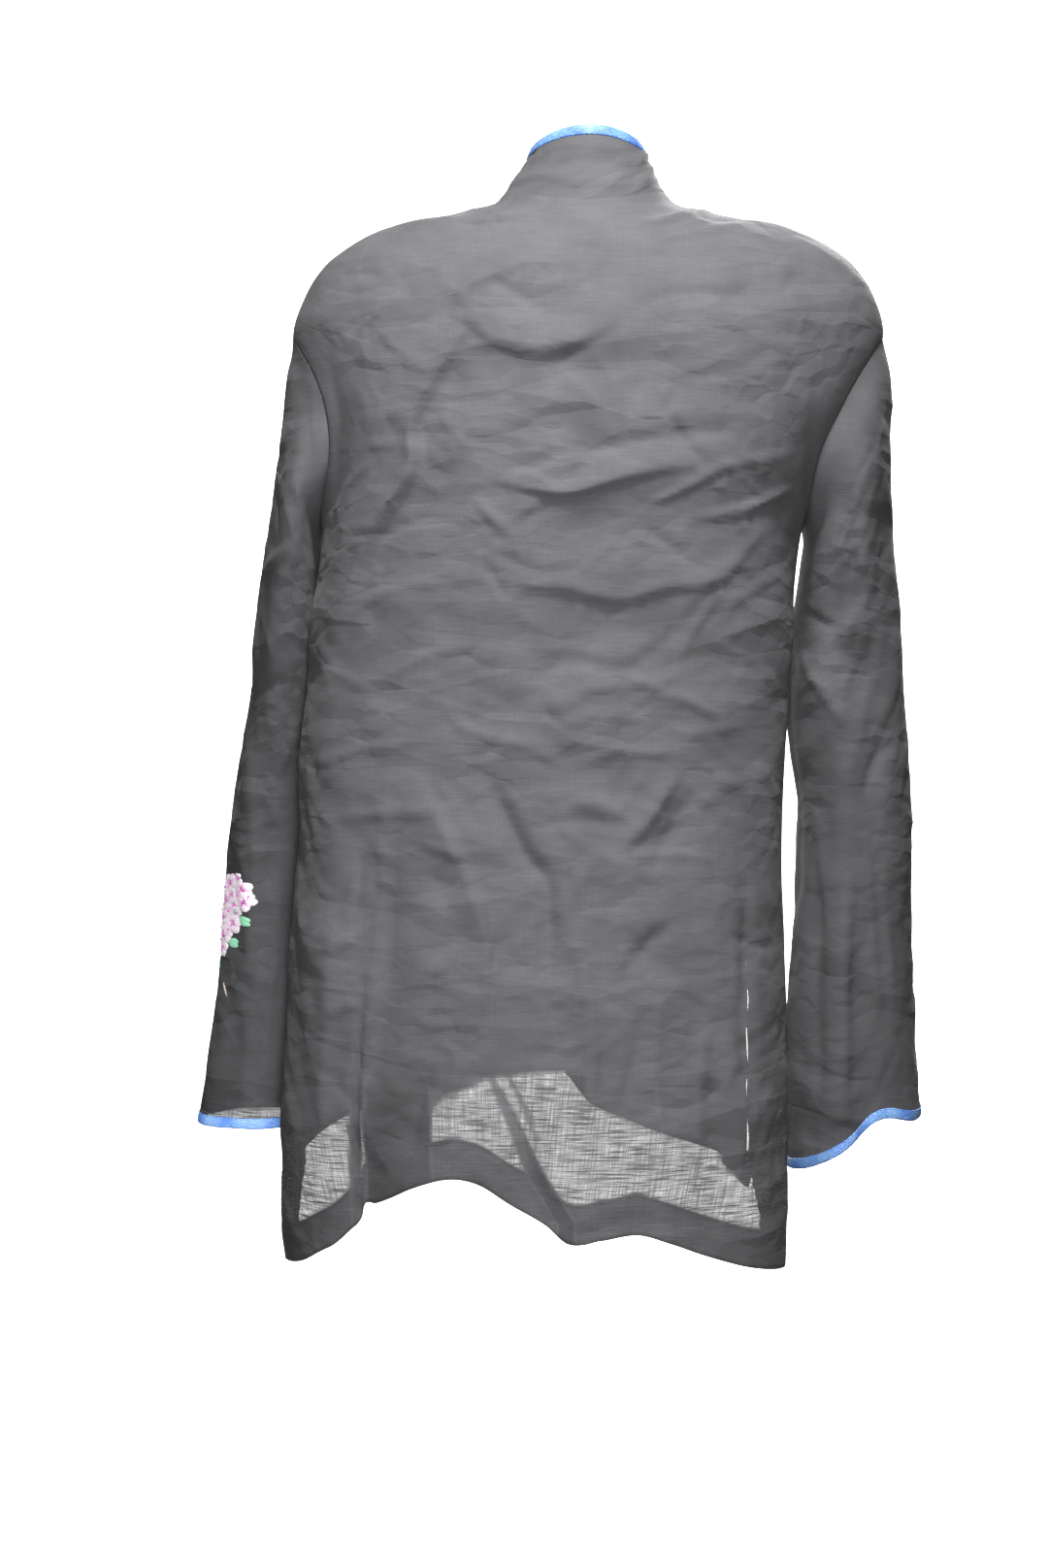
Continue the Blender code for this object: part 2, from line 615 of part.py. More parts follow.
def centre_of(points):
    total = Vector((0.0, 0.0, 0.0))
    for point in points:
        total = total + point
    return total / len(points)


def add_button(name, level, collection):
    """A plain round button on the right front, over the middle of the overlap."""
    angle = front_angle(level, 0.0)
    place = torso_point(level, angle, -1)
    higher = level + BUTTON_STEP
    above = torso_point(higher, front_angle(higher, 0.0), -1)
    across = torso_point(level, angle + 1.0, -1) - place
    outward = (above - place).cross(across).normalized()
    if outward.y > 0:
        outward = -outward
    bpy.ops.mesh.primitive_cylinder_add(vertices=BUTTON_SIDES, radius=BUTTON_RADIUS,
                                        depth=BUTTON_THICKNESS)
    button = bpy.context.object
    button.name = name
    button.data.name = name
    for owner in list(button.users_collection):
        owner.objects.unlink(button)
    collection.objects.link(button)
    button.location = place + outward * (BUTTON_THICKNESS / 2 + 2 * SEAM_GAP)
    button.rotation_euler = outward.to_track_quat("Z", "Y").to_euler()
    button.data.materials.append(add_material(name, HORN))
    rounded = button.modifiers.new("Rounded", "BEVEL")
    rounded.width = BUTTON_EDGE
    rounded.segments = 1
    rounded.limit_method = "ANGLE"
    return button


def build():
    clear_scene()
    collection = bpy.data.collections.new("blouse")
    bpy.context.scene.collection.children.link(collection)
    add_wall("back", back_grid(), LINEN, collection, turned=turned_back)
    add_wall("front_left", front_grid(1), LINEN, collection, turned=turned_front_left)
    add_wall("front_right", front_grid(-1), LINEN, collection, turned=turned_front_right)
    collar = collar_grid()
    add_wall("collar_stand", collar, LINEN, collection)
    add_wall("collar_binding", binding_grid(collar[0][::-1], collar[1][::-1], False), SATIN_BLUE,
             collection, wall=SATIN, outside=True)
    sleeves = (("left", RINGS_LEFT, SLEEVE_FOLDS_LEFT, 1),
               ("right", RINGS_RIGHT, SLEEVE_FOLDS_RIGHT, -1))
    for name, rings, folds, side in sleeves:
        sleeve = sleeve_grid(rings, folds, side)
        add_wall("sleeve_" + name, sleeve, LINEN, collection, closed=True)
        add_wall("cuff_binding_" + name, binding_grid(sleeve[-1], sleeve[-2], True), SATIN_BLUE,
                 collection, closed=True, wall=SATIN, outside=True)
    for number, level in enumerate(BUTTON_LEVELS, start=1):
        add_button("button_%d" % number, level, collection)


build()
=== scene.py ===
import json
import math

import bpy
import numpy as np
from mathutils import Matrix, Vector, noise

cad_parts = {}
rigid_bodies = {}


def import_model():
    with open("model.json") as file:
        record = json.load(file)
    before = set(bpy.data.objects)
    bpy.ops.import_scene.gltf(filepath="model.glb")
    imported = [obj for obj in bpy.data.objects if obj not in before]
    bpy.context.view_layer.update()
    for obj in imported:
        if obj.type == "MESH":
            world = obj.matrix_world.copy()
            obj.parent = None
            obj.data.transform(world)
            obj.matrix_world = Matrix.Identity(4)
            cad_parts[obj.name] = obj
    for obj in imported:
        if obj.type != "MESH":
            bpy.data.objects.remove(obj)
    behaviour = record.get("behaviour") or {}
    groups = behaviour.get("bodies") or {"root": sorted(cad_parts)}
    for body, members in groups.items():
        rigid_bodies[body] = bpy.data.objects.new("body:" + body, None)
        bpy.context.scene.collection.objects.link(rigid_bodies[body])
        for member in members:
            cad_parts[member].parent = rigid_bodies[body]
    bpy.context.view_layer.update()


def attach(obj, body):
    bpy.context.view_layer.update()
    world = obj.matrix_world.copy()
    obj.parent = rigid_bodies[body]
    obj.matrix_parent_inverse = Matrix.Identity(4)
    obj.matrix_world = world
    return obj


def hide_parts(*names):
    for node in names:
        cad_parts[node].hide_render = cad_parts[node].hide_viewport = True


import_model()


# ---- Studio
# The camera stands behind the blouse at mid-back height, as in the photo, which is 1080 x 1616
# pixels. A white floor sweeps up into a backdrop. Two soft boxes light the blouse on the camera's
# side and two its hidden side.
CAMERA = Vector((0.046, 1.616, -0.436))
LENS, SENSOR = 50.0, 36.0    # mm
PHOTO_MIDDLE = (540, 808)    # pixels
PHOTO_FOCAL = 2244.4         # the same lens in the photo's pixels
BACKDROP_GLOW = 3.2
ROOM_LIGHT = 0.06            # of the rest of the white studio, which shows white
FLOOR_LEVEL = -1.10
BACKDROP_AT = -3.6
SWEEP_RADIUS = 1.2
SWEEP_STEPS = 12


def linear(code):
    """An sRGB hex colour as linear RGBA."""
    channels = [int(code[i:i + 2], 16) / 255 for i in (1, 3, 5)]
    return tuple(c / 12.92 if c <= 0.04045 else ((c + 0.055) / 1.055) ** 2.4
                 for c in channels) + (1.0,)


def new_tree(owner):
    """The empty node tree of a new material or world."""
    owner.use_nodes = True
    owner.node_tree.nodes.clear()
    return owner.node_tree


def add_node(tree, kind, inputs=None, **settings):
    """Add a shader node, set what it is and feed its sockets.

    An input is a value, a socket, or a node that stands for its first output.
    """
    node = tree.nodes.new("ShaderNode" + kind)
    for name, value in settings.items():
        setattr(node, name, value)
    for name, value in (inputs or {}).items():
        if isinstance(value, bpy.types.Node):
            value = value.outputs[0]
        if isinstance(value, bpy.types.NodeSocket):
            tree.links.new(value, node.inputs[name])
        else:
            node.inputs[name].default_value = value
    return node


def add_object(name, data):
    """A new object in the scene."""
    thing = bpy.data.objects.new(name, data)
    bpy.context.scene.collection.objects.link(thing)
    return thing


def add_lamp(name, place, aim, width, height, spread, power):
    """A soft box."""
    lamp = bpy.data.lights.new(name, "AREA")
    lamp.shape = "RECTANGLE"
    lamp.size, lamp.size_y = width, height
    lamp.spread = math.radians(spread)
    lamp.energy = power
    box = add_object(name, lamp)
    box.location = place
    box.rotation_euler = (Vector(aim) - Vector(place)).to_track_quat("-Z", "Y").to_euler()
    return box


camera_data = bpy.data.cameras.new("Camera")
camera_data.lens = LENS
camera_data.sensor_width = SENSOR
camera = add_object("Camera", camera_data)
camera.location = CAMERA
camera.rotation_euler = (math.radians(90), 0, math.radians(180))
bpy.context.scene.camera = camera
bpy.context.scene.view_settings.view_transform = "Standard"

# White acrylic, lit evenly from behind, with a very faint unevenness of the diffuser
acrylic = bpy.data.materials.new("lit_white_acrylic")
tree = new_tree(acrylic)
place = add_node(tree, "TexCoord").outputs["Object"]
diffuser = add_node(tree, "TexNoise", {"Vector": place, "Scale": 1.5})
tone = add_node(tree, "Mix", {0: diffuser, 6: linear("#fbfbfb"), 7: linear("#ffffff")},
                data_type="RGBA")
paint = add_node(tree, "BsdfPrincipled", {
    "Base Color": linear("#f2f2f2"), "Roughness": 0.8, "Emission Color": tone.outputs[2],
    "Emission Strength": BACKDROP_GLOW})
add_node(tree, "OutputMaterial", {"Surface": paint})

profile = [(6.0, FLOOR_LEVEL)]
for step in range(SWEEP_STEPS + 1):
    turn = math.radians(90 * step / SWEEP_STEPS)
    profile.append((BACKDROP_AT + SWEEP_RADIUS * (1 - math.sin(turn)),
                    FLOOR_LEVEL + SWEEP_RADIUS * (1 - math.cos(turn))))
profile.append((BACKDROP_AT, 5.0))
sweep = bpy.data.meshes.new("backdrop")
sweep.from_pydata([(x, y, z) for y, z in profile for x in (-7.0, 7.0)], [],
                  [(2 * i, 2 * i + 1, 2 * i + 3, 2 * i + 2) for i in range(len(profile) - 1)])
sweep.shade_smooth()
sweep.materials.append(acrylic)
backdrop = add_object("backdrop", sweep)
backdrop.visible_diffuse = False    # so that its white does not spill on the cloth
backdrop.visible_glossy = False

# Soft boxes. Columns: name, place, aim, width, height, spread in degrees, power in watts
SOFT_BOXES = (
    ("key", (-0.02, 0.74, 0.95), (0.02, 0.10, -0.35), 0.22, 0.22, 150, 17.9),
    ("near_fill", (0.04, 1.45, -0.40), (0.03, 0.10, -0.44), 0.16, 1.10, 50, 1.55),
    ("wearer_front", (-0.9, -2.2, 1.4), (0.0, 0.0, -0.4), 1.0, 1.0, 90, 30.0),
    ("wearer_front_low", (0.6, -2.6, -0.3), (0.0, 0.0, -0.4), 1.2, 1.2, 90, 6.0),
)
for row in SOFT_BOXES:
    add_lamp(*row)
world = bpy.data.worlds.new("studio")
tree = new_tree(world)
ray = add_node(tree, "LightPath").outputs["Is Camera Ray"]
strength = add_node(tree, "MapRange", {"Value": ray, "To Min": ROOM_LIGHT})
room = add_node(tree, "Background", {"Color": (1.0, 1.0, 1.0, 1.0), "Strength": strength})
add_node(tree, "OutputWorld", {"Surface": room})
bpy.context.scene.world = world


# ---- Back
# One piece of light charcoal linen from neck to hem. It is sewn to the fronts at the shoulders
# and sides and open below at two vents. Its hem and vent edges are turned in and stitched.
CLOTH = 0.00045              # real cloth
TURN_GAP = 0.0009            # between the cloth and what is turned in behind it
TURNED = 0.35                # how closed the weave looks where the cloth is turned and pressed
HEM_TURN = 0.027
FACING_WIDTH = 0.025
HEM_LEVEL = -0.785
SHOULDER_LEVEL = -0.108
UNDERARM_LEVEL = -0.240
VENT_LEVEL = -0.560
NECK_DROP_BACK = 0.017
NECK_DROP_FRONT = 0.060
NECK_DROP_END = -0.160
ARMHOLE_SPREAD = 27.0
FOLD_END = 0.12
ARMHOLE_STEPS = 48
ARMHOLE_MIDDLE = (SHOULDER_LEVEL + UNDERARM_LEVEL) / 2
ARMHOLE_REACH = (SHOULDER_LEVEL - UNDERARM_LEVEL) / 2
ROW_STEP = 0.0036            # from row to row of the cloth, above the armholes
SIDE_ROWS = 94
VENT_ROWS = 56
HEM_ROWS = 9
BACK_COLUMNS = 150
FRONT_COLUMNS = 84
FACING_COLUMNS = 9
FRONT_EDGE = 0.013
UNDERLAP_EDGE = -0.017
NO_SLIT = 100.0              # added, so that sheets without a slit read as far from one
CREASE_DEPTH = 1.8           # of the creases placed from the photo, against their tables
# Soft crumpling. Columns: width and length of one crumple, height, in millimetres
CRUMPLES = ((90, 60, 0.9), (40, 30, 0.5))
# Flat pressed facets. Columns: width and length of one, their turn in degrees, height in mm
UPPER_FACETS = ((150, 58, -34, 3.2), (84, 34, 38, 1.9), (30, 20, -24, 0.6))
LOWER_FACETS = ((180, 60, 64, 4.6), (90, 34, 44, 2.2), (36, 20, -52, 0.6))

# The torso's own sections, as in the solids. Columns: level, centre_x, half_width, back_depth,
# front_depth, back_power, front_power
TORSO = np.array((
    (0.000, 0.001, 0.0600, 0.055, 0.068, 2.0, 2.0),
    (-0.010, 0.001, 0.0710, 0.061, 0.070, 2.0, 2.0),
    (-0.0175, 0.000, 0.1000, 0.067, 0.072, 2.0, 2.0),
    (-0.024, -0.001, 0.1400, 0.073, 0.074, 2.0, 2.0),
    (-0.031, -0.001, 0.1610, 0.078, 0.076, 2.0, 2.0),
    (-0.042, -0.002, 0.1800, 0.086, 0.079, 2.1, 2.0),
    (-0.056, -0.002, 0.1965, 0.094, 0.083, 2.2, 2.1),
    (-0.078, -0.002, 0.2100, 0.102, 0.088, 2.3, 2.2),
    (-0.108, -0.001, 0.2175, 0.110, 0.095, 2.4, 2.3),
    (-0.160, 0.003, 0.2060, 0.118, 0.106, 2.4, 2.3),
    (-0.200, 0.010, 0.1910, 0.121, 0.115, 2.4, 2.2),
    (-0.240, 0.017, 0.1790, 0.122, 0.119, 2.4, 2.1),
    (-0.270, 0.021, 0.1765, 0.122, 0.120, 2.4, 2.0),
    (-0.310, 0.025, 0.1765, 0.121, 0.119, 2.5, 2.0),
    (-0.360, 0.028, 0.1775, 0.119, 0.117, 2.5, 2.0),
    (-0.420, 0.033, 0.1790, 0.120, 0.119, 2.5, 2.0),
    (-0.480, 0.034, 0.1775, 0.122, 0.122, 2.6, 2.0),
    (-0.560, 0.037, 0.1820, 0.126, 0.126, 2.6, 2.0),
    (-0.640, 0.038, 0.1850, 0.129, 0.129, 2.7, 2.0),
    (-0.700, 0.039, 0.1860, 0.131, 0.131, 2.7, 2.0),
    (-0.785, 0.037, 0.1840, 0.134, 0.134, 2.7, 2.0),
))
# Hem heights. Columns: side, height
HEMS = {
    0: np.array((
        (-1.00, -0.783), (-0.80, -0.772), (-0.62, -0.760), (-0.50, -0.751), (-0.38, -0.744),
        (-0.24, -0.747), (-0.12, -0.749), (-0.04, -0.737), (0.08, -0.724), (0.20, -0.710),
        (0.31, -0.706), (0.44, -0.712), (0.60, -0.7255), (0.645, -0.7265), (0.662, -0.7370),
        (0.70, -0.7446), (0.76, -0.7555), (0.80, -0.760), (0.90, -0.772), (1.00, -0.779))),
    1: np.array((
        (-0.50, -0.664), (0.00, -0.665), (0.22, -0.670), (0.42, -0.684), (0.70, -0.690),
        (0.85, -0.700), (1.00, -0.722))),
    -1: np.array((
        (-1.00, -0.752), (-0.90, -0.747), (-0.86, -0.742), (-0.80, -0.726), (-0.70, -0.7195),
        (-0.60, -0.7145), (-0.38, -0.7005), (-0.25, -0.691), (-0.20, -0.681), (-0.15, -0.669),
        (-0.10, -0.665), (0.60, -0.665))),
}
# Vent edges, degrees from the side line at the hem. Key: side. Values: back_turn, front_turn
VENTS = {1: (14.0, 16.0), -1: (18.0, 27.0)}
# The solids' own large folds, in millimetres. Columns: start_x, start_z, middle_x, middle_z,
# end_x, end_z, half_width, height
BACK_FOLDS = (
    (80, -112, 36, -136, -54, -112, 20, 3.0),
    (72, -128, 20, -152, -50, -128, 18, -3.0),
    (96, -122, 128, -200, 172, -330, 20, -4.5),
    (126, -130, 148, -190, 168, -270, 22, 2.5),
    (66, -236, -20, -226, -130, -212, 24, 4.0),
    (56, -262, 0, -256, -84, -236, 18, -2.5),
    (40, -290, -20, -300, -88, -290, 20, 2.5),
    (52, -304, 20, -318, -24, -316, 18, -2.5),
    (-30, -316, 18, -350, 46, -372, 20, -3.0),
    (30, -366, 4, -384, -22, -398, 24, 3.5),
    (-64, -378, -86, -384, -104, -390, 16, 3.0),
    (70, -430, 40, -498, 26, -560, 20, -3.5),
    (-72, -440, -62, -464, -48, -490, 20, -3.0),
    (-54, -536, -44, -550, -30, -562, 18, -3.0),
    (150, -420, 146, -560, 156, -690, 20, -6.0),
    (176, -420, 182, -560, 190, -690, 24, 4.0),
    (112, -600, 120, -650, 128, -700, 14, -4.0),
    (156, -690, 158, -740, 158, -790, 16, -11.0),
    (-36, -600, -30, -650, -24, -700, 20, -3.0),
    (60, -640, 46, -690, 26, -750, 16, -5.0),
    (6, -700, 8, -730, 12, -780, 22, 5.0),
    (-70, -690, -74, -730, -78, -790, 24, -4.0),
    (-118, -600, -120, -690, -122, -790, 26, 4.0),
    (-166, -60, -158, -130, -162, -220, 20, -2.5),
    (184, -60, 176, -130, 184, -220, 20, -2.5),
)
FRONT_FOLDS = (
    (150, -130, 120, -200, 92, -290, 22, -3.5),
    (-150, -130, -122, -210, -100, -300, 22, -4.0),
    (130, -260, 100, -360, 96, -470, 22, -3.5),
    (-112, -300, -96, -400, -84, -520, 22, -3.0),
    (168, -330, 150, -430, 146, -560, 22, 3.5),
    (-60, -140, -84, -170, -130, -186, 18, 3.0),
    (60, -150, 86, -182, 140, -206, 18, 3.0),
    (120, -480, 126, -590, 130, -700, 22, -6.0),
    (70, -500, 72, -600, 74, -690, 22, 4.0),
    (-56, -480, -54, -600, -50, -720, 22, -5.0),
    (-92, -500, -96, -620, -100, -740, 22, 4.5),
    (-30, -330, -50, -352, -90, -356, 18, -2.5),
    (34, -300, 66, -322, 110, -318, 18, -2.5),
    (-158, -80, -152, -140, -156, -220, 15, -5.0),
    (166, -80, 164, -140, 176, -220, 15, -5.0),
)


def ease(share):
    """A smooth step from 0 to 1."""
    share = np.clip(share, 0.0, 1.0)
    return share * share * (3.0 - 2.0 * share)


def unit(vectors):
    """The same directions, one long."""
    return vectors / np.maximum(np.linalg.norm(vectors, axis=-1, keepdims=True), 1e-12)


def running(steps):
    """Distances along a line, from the lengths of its steps."""
    return np.concatenate([[0], np.cumsum(steps)])


def wave(turn):
    """Sine and cosine of a turn in degrees."""
    return np.sin(np.radians(turn)), np.cos(np.radians(turn))


def read_table(table, key):
    """The later columns of a table at values of its first one, smooth between its rows."""
    rows = table[np.argsort(table[:, 0])]
    keys = rows[:, 0]
    key = np.clip(np.asarray(key, float), keys[0], keys[-1])
    at = np.clip(np.searchsorted(keys, key) - 1, 0, len(keys) - 2)
    low, high = rows[at], rows[at + 1]
    before, after = rows[np.maximum(at - 1, 0)], rows[np.minimum(at + 2, len(keys) - 1)]
    span = (high - low)[..., :1]
    share = (key - low[..., 0])[..., None] / span
    slope_low = (high - before) / (high - before)[..., :1] * span
    slope_high = (after - low) / (after - low)[..., :1] * span
    value = (low * (2 * share ** 3 - 3 * share ** 2 + 1)
             + slope_low * (share ** 3 - 2 * share ** 2 + share)
             + high * (3 * share ** 2 - 2 * share ** 3)
             + slope_high * (share ** 3 - share ** 2))
    return np.moveaxis(value[..., 1:], -1, 0)


def nearest_on(line, stations, x, y):
    """How far places are from a line, where along it they lie, and on which side, as a sign."""
    nearest = np.full(x.shape, np.inf)
    along, turned = np.zeros(x.shape), np.zeros(x.shape)
    legs = np.diff(line, axis=0)
    lengths = np.hypot(legs[:, 0], legs[:, 1])
    for (ax, ay), (dx, dy), length, start, step in zip(line, legs, lengths, stations,
                                                       np.diff(stations)):
        share = np.clip(((x - ax) * dx + (y - ay) * dy) / length ** 2, 0, 1)
        ox, oy = x - ax - share * dx, y - ay - share * dy
        distance = np.hypot(ox, oy)
        closer = distance < nearest
        nearest = np.where(closer, distance, nearest)
        along = np.where(closer, start + share * step, along)
        turned = np.where(closer, dx * oy - dy * ox, turned)
    return nearest, along, turned


def large_folds(folds, x, z):
    """Height of the solids' own folds, in metres."""
    total = np.zeros(x.shape)
    for *corners, half_width, height in folds:
        nearest, along, _ = nearest_on(np.reshape(corners, (3, 2)), (0, 0.5, 1), x * 1000,
                                       z * 1000)
        fade = np.sin(np.pi * (FOLD_END + (1 - 2 * FOLD_END) * along))
        total += height * fade * np.exp(-(nearest / half_width) ** 2) / 1000
    return total


def side_share(level, angle, panel):
    """From -1 at the wearer's right seam to 1 at the left one."""
    power = read_table(TORSO, level)[4 if panel == 0 else 5]
    cosine = wave(angle)[1]
    return np.copysign(np.abs(cosine) ** (2 / power), cosine)


def torso_surface(level, angle, panel):
    """Points of the torso. Angle 0 is the wearer's left side, 90 the middle of the back.

    The panel is 0 for the back, 1 for the left front and -1 for the right front.
    """
    level, angle = np.broadcast_arrays(np.asarray(level, float), np.asarray(angle, float))
    back = panel == 0
    hem = read_table(HEMS[panel], side_share(level, angle, panel))[0]
    share = (level - VENT_LEVEL) / (HEM_LEVEL - VENT_LEVEL)
    height = np.where(level > VENT_LEVEL, level, VENT_LEVEL + share * (hem - VENT_LEVEL))
    sine, cosine = wave(angle)
    centre_x, half_width, *forms = read_table(TORSO, height)
    depth, power = forms[0 if back else 1::2]
    x = centre_x + half_width * np.copysign(np.abs(cosine) ** (2 / power), cosine)
    y = depth * np.abs(sine) ** (2 / power) * (1 if back else -1)
    fade = np.clip(1.0 - level / NECK_DROP_END, 0, None) ** 2
    height = height - (NECK_DROP_BACK if back else NECK_DROP_FRONT) * sine * sine * fade
    facing = np.sqrt(np.abs(sine))
    outward = unit(np.stack([cosine * (1.3 - facing), facing * (1 if back else -1),
                             np.zeros(x.shape)], -1))
    raised = large_folds(BACK_FOLDS if back else FRONT_FOLDS, x, height)
    raised = raised * ease((-0.02 - level) / 0.09) * facing
    return np.stack([x, y, height], -1) + outward * raised[..., None]


def torso_facing(level, angle, panel):
    """Unit normals of the torso's surface, outward."""
    least, most = ((0.0, 180.0) if panel == 0 else (-180.0, 0.0))
    left, right = (torso_surface(level, np.clip(angle + step, least, most), panel)
                   for step in (-0.3, 0.3))
    below, above = (torso_surface(np.minimum(level + step, 0.0), angle, panel)
                    for step in (-0.001, 0.001))
    normal = unit(np.cross(right - left, above - below))
    return normal * np.sign((normal[..., 1] * (1 if panel == 0 else -1)).sum())


def seam_turn(level, side, back):
    """Degrees from the side line at which a panel's edge lies, at the armhole or the vent."""
    if SHOULDER_LEVEL > level > UNDERARM_LEVEL:
        part = (level - ARMHOLE_MIDDLE) / ARMHOLE_REACH
        return ARMHOLE_SPREAD * math.sqrt(max(0.0, 1.0 - part ** 2))
    if level < VENT_LEVEL:
        share = (VENT_LEVEL - level) / (VENT_LEVEL - HEM_LEVEL)
        return VENTS[side][0 if back else 1] * share ** 0.8
    return 0.0


def torso_levels():
    """Levels of the cloth's rows above the vents, spaced evenly along the cloth."""
    dense = np.linspace(0, SHOULDER_LEVEL, 400)
    half_width = read_table(TORSO, dense)[1]
    run = running(np.hypot(np.diff(dense), np.diff(half_width)))
    neck = np.interp(np.linspace(0, run[-1], int(run[-1] / ROW_STEP)), run, dense)
    armhole = ARMHOLE_MIDDLE + ARMHOLE_REACH * np.cos(np.linspace(0, np.pi, ARMHOLE_STEPS + 1))
    even = np.linspace(armhole[0], armhole[-1], ARMHOLE_STEPS + 1)
    armhole = 0.88 * armhole + 0.12 * even    # so that no two rows come too close at its ends
    side = np.linspace(UNDERARM_LEVEL, VENT_LEVEL, SIDE_ROWS)
    return np.concatenate([neck, armhole[1:], side[1:]])


UNDERARM_ROW = int(np.argmin(np.abs(torso_levels() - UNDERARM_LEVEL)))


def panel_rows(panel, columns):
    """Levels and angles of a panel's points, rows by columns, and its vent's first row."""
    upper = torso_levels()
    nominal = np.linspace(0, 1, VENT_ROWS + HEM_ROWS + 1)[1:]
    levels = np.concatenate([upper, VENT_LEVEL + nominal * (HEM_LEVEL - VENT_LEVEL)])
    spread = np.linspace(0, 1, columns + 1)
    angles = []
    for level in levels:
        if panel == 0:
            dense = np.linspace(0.0, 180.0, 600)
            first, last = seam_turn(level, 1, True), 180.0 - seam_turn(level, -1, True)
        else:
            search = np.linspace(-150.0, -30.0, 400)
            edge = np.interp(UNDERLAP_EDGE if panel > 0 else FRONT_EDGE,
                             torso_surface(level, search, panel)[:, 0], search)
            turn = seam_turn(level, panel, False)
            dense = np.linspace(edge, 0.0, 500) if panel > 0 else np.linspace(-180.0, edge, 500)
            first, last = (edge, -turn) if panel > 0 else (-180.0 + turn, edge)
        run = running(np.linalg.norm(np.diff(torso_surface(level, dense, panel), axis=0), axis=1))
        run /= run[-1]
        start, end = np.interp([first, last], dense, run)
        share = spread + start * (1 - spread) ** 3 - (1 - end) * spread ** 3
        angles.append(np.interp(share, run, dense))
    angles = np.array(angles)
    hem = read_table(HEMS[panel], side_share(HEM_LEVEL, angles[-1], panel))[0]
    band = HEM_TURN / (VENT_LEVEL - hem)
    share = np.concatenate([np.linspace(0, 1, VENT_ROWS + 1)[1:, None] * (1 - band),
                            1 - band * (1 - np.linspace(0, 1, HEM_ROWS + 1)[1:, None])])
    level = np.concatenate([np.repeat(upper[:, None], columns + 1, axis=1),
                            VENT_LEVEL + share * (HEM_LEVEL - VENT_LEVEL)])
    return level, angles, len(upper)


def facing_of(points, outward):
    """Unit normals of a grid of points, on the side that outward says."""
    normal = unit(np.cross(np.gradient(points, axis=1), np.gradient(points, axis=0)))
    return normal * np.sign((normal * outward).sum())


def arc_from_edge(points, axis, from_end=False):
    """Distance along a grid's rows or columns from one edge."""
    if from_end:
        return np.flip(arc_from_edge(np.flip(points, axis), axis), axis)
    run = np.cumsum(np.linalg.norm(np.diff(points, axis=axis), axis=-1), axis=axis)
    return np.concatenate([np.zeros_like(np.take(run, [0], axis=axis)), run], axis=axis)


def thread_uv(points):
    """Cloth coordinates in metres that follow the threads: level weft and upright warp."""
    across = arc_from_edge(points, 1)
    middle = points.shape[1] // 2
    across -= across[:, middle:middle + 1]
    x = points[..., 0]
    direction = np.sign(x[UNDERARM_ROW, -1] - x[UNDERARM_ROW, 0])
    across[:UNDERARM_ROW] = across[UNDERARM_ROW] + direction * (x[:UNDERARM_ROW]
                                                                - x[UNDERARM_ROW])
    steps = np.diff(points[:, middle], axis=0)
    depth = np.append(-points[:, middle, 2], 1.0)
    run = np.append(running(np.hypot(steps[:, 1], steps[:, 2])), 0.0)
    run[-1] = run[-2] + depth[-1] - depth[-2]
    down = np.interp(-points[..., 2], depth, run)
    return np.stack([across, run[UNDERARM_ROW] - down], -1)


def away_from(points, seam):
    """Distance of every point from the nearest point of a seam."""
    nearest = np.full(points.shape[:2], np.inf)
    for place in seam:
        nearest = np.minimum(nearest, ((points - place) ** 2).sum(axis=-1))
    return np.sqrt(nearest)


def in_photo(points):
    """Where points are seen in the photo, in its pixels."""
    depth = CAMERA.y - points[..., 1]
    return (PHOTO_MIDDLE[0] - PHOTO_FOCAL * (points[..., 0] - CAMERA.x) / depth,
            PHOTO_MIDDLE[1] - PHOTO_FOCAL * (points[..., 2] - CAMERA.z) / depth)


def smooth_line(points, steps=6):
    """A line through points, rounded between them."""
    points = np.array(points, float)
    padded = np.concatenate([points[:1], points, points[-1:]])
    line = []
    for i in range(len(points) - 1):
        a, b, c, d = padded[i:i + 4]
        for t in np.arange(steps) / steps:
            line.append(0.5 * (2 * b + (c - a) * t + (2 * a - 5 * b + 4 * c - d) * t * t
                               + (3 * b - a - 3 * c + d) * t ** 3))
    return np.array(line + [points[-1]])


def crease_height(across, down, creases):
    """Height of pressed-in creases, each a soft-sided ridge or trough that fades at both ends.

    Each has one width on its upper or left side and another on its lower or right side, which
    is the side that the key light leaves darker.
    """
    total = np.zeros(across.shape)
    for height, lit, shade, points in creases:
        line = smooth_line(points)
        reach = max(lit, shade)
        near = ((across > line[:, 0].min() - reach) & (across < line[:, 0].max() + reach)
                & (down > line[:, 1].min() - reach) & (down < line[:, 1].max() + reach))
        if not near.any():
            continue
        before = running(np.hypot(*np.diff(line, axis=0).T))
        nearest, along, turned = nearest_on(line, before / before[-1], across[near], down[near])
        width = np.where(turned > 0, shade, lit)
        profile = np.clip(1 - nearest / width, 0, 1) ** 1.3
        total[near] += height / 1000 * profile * np.sin(np.pi * along) ** 0.6
    return total


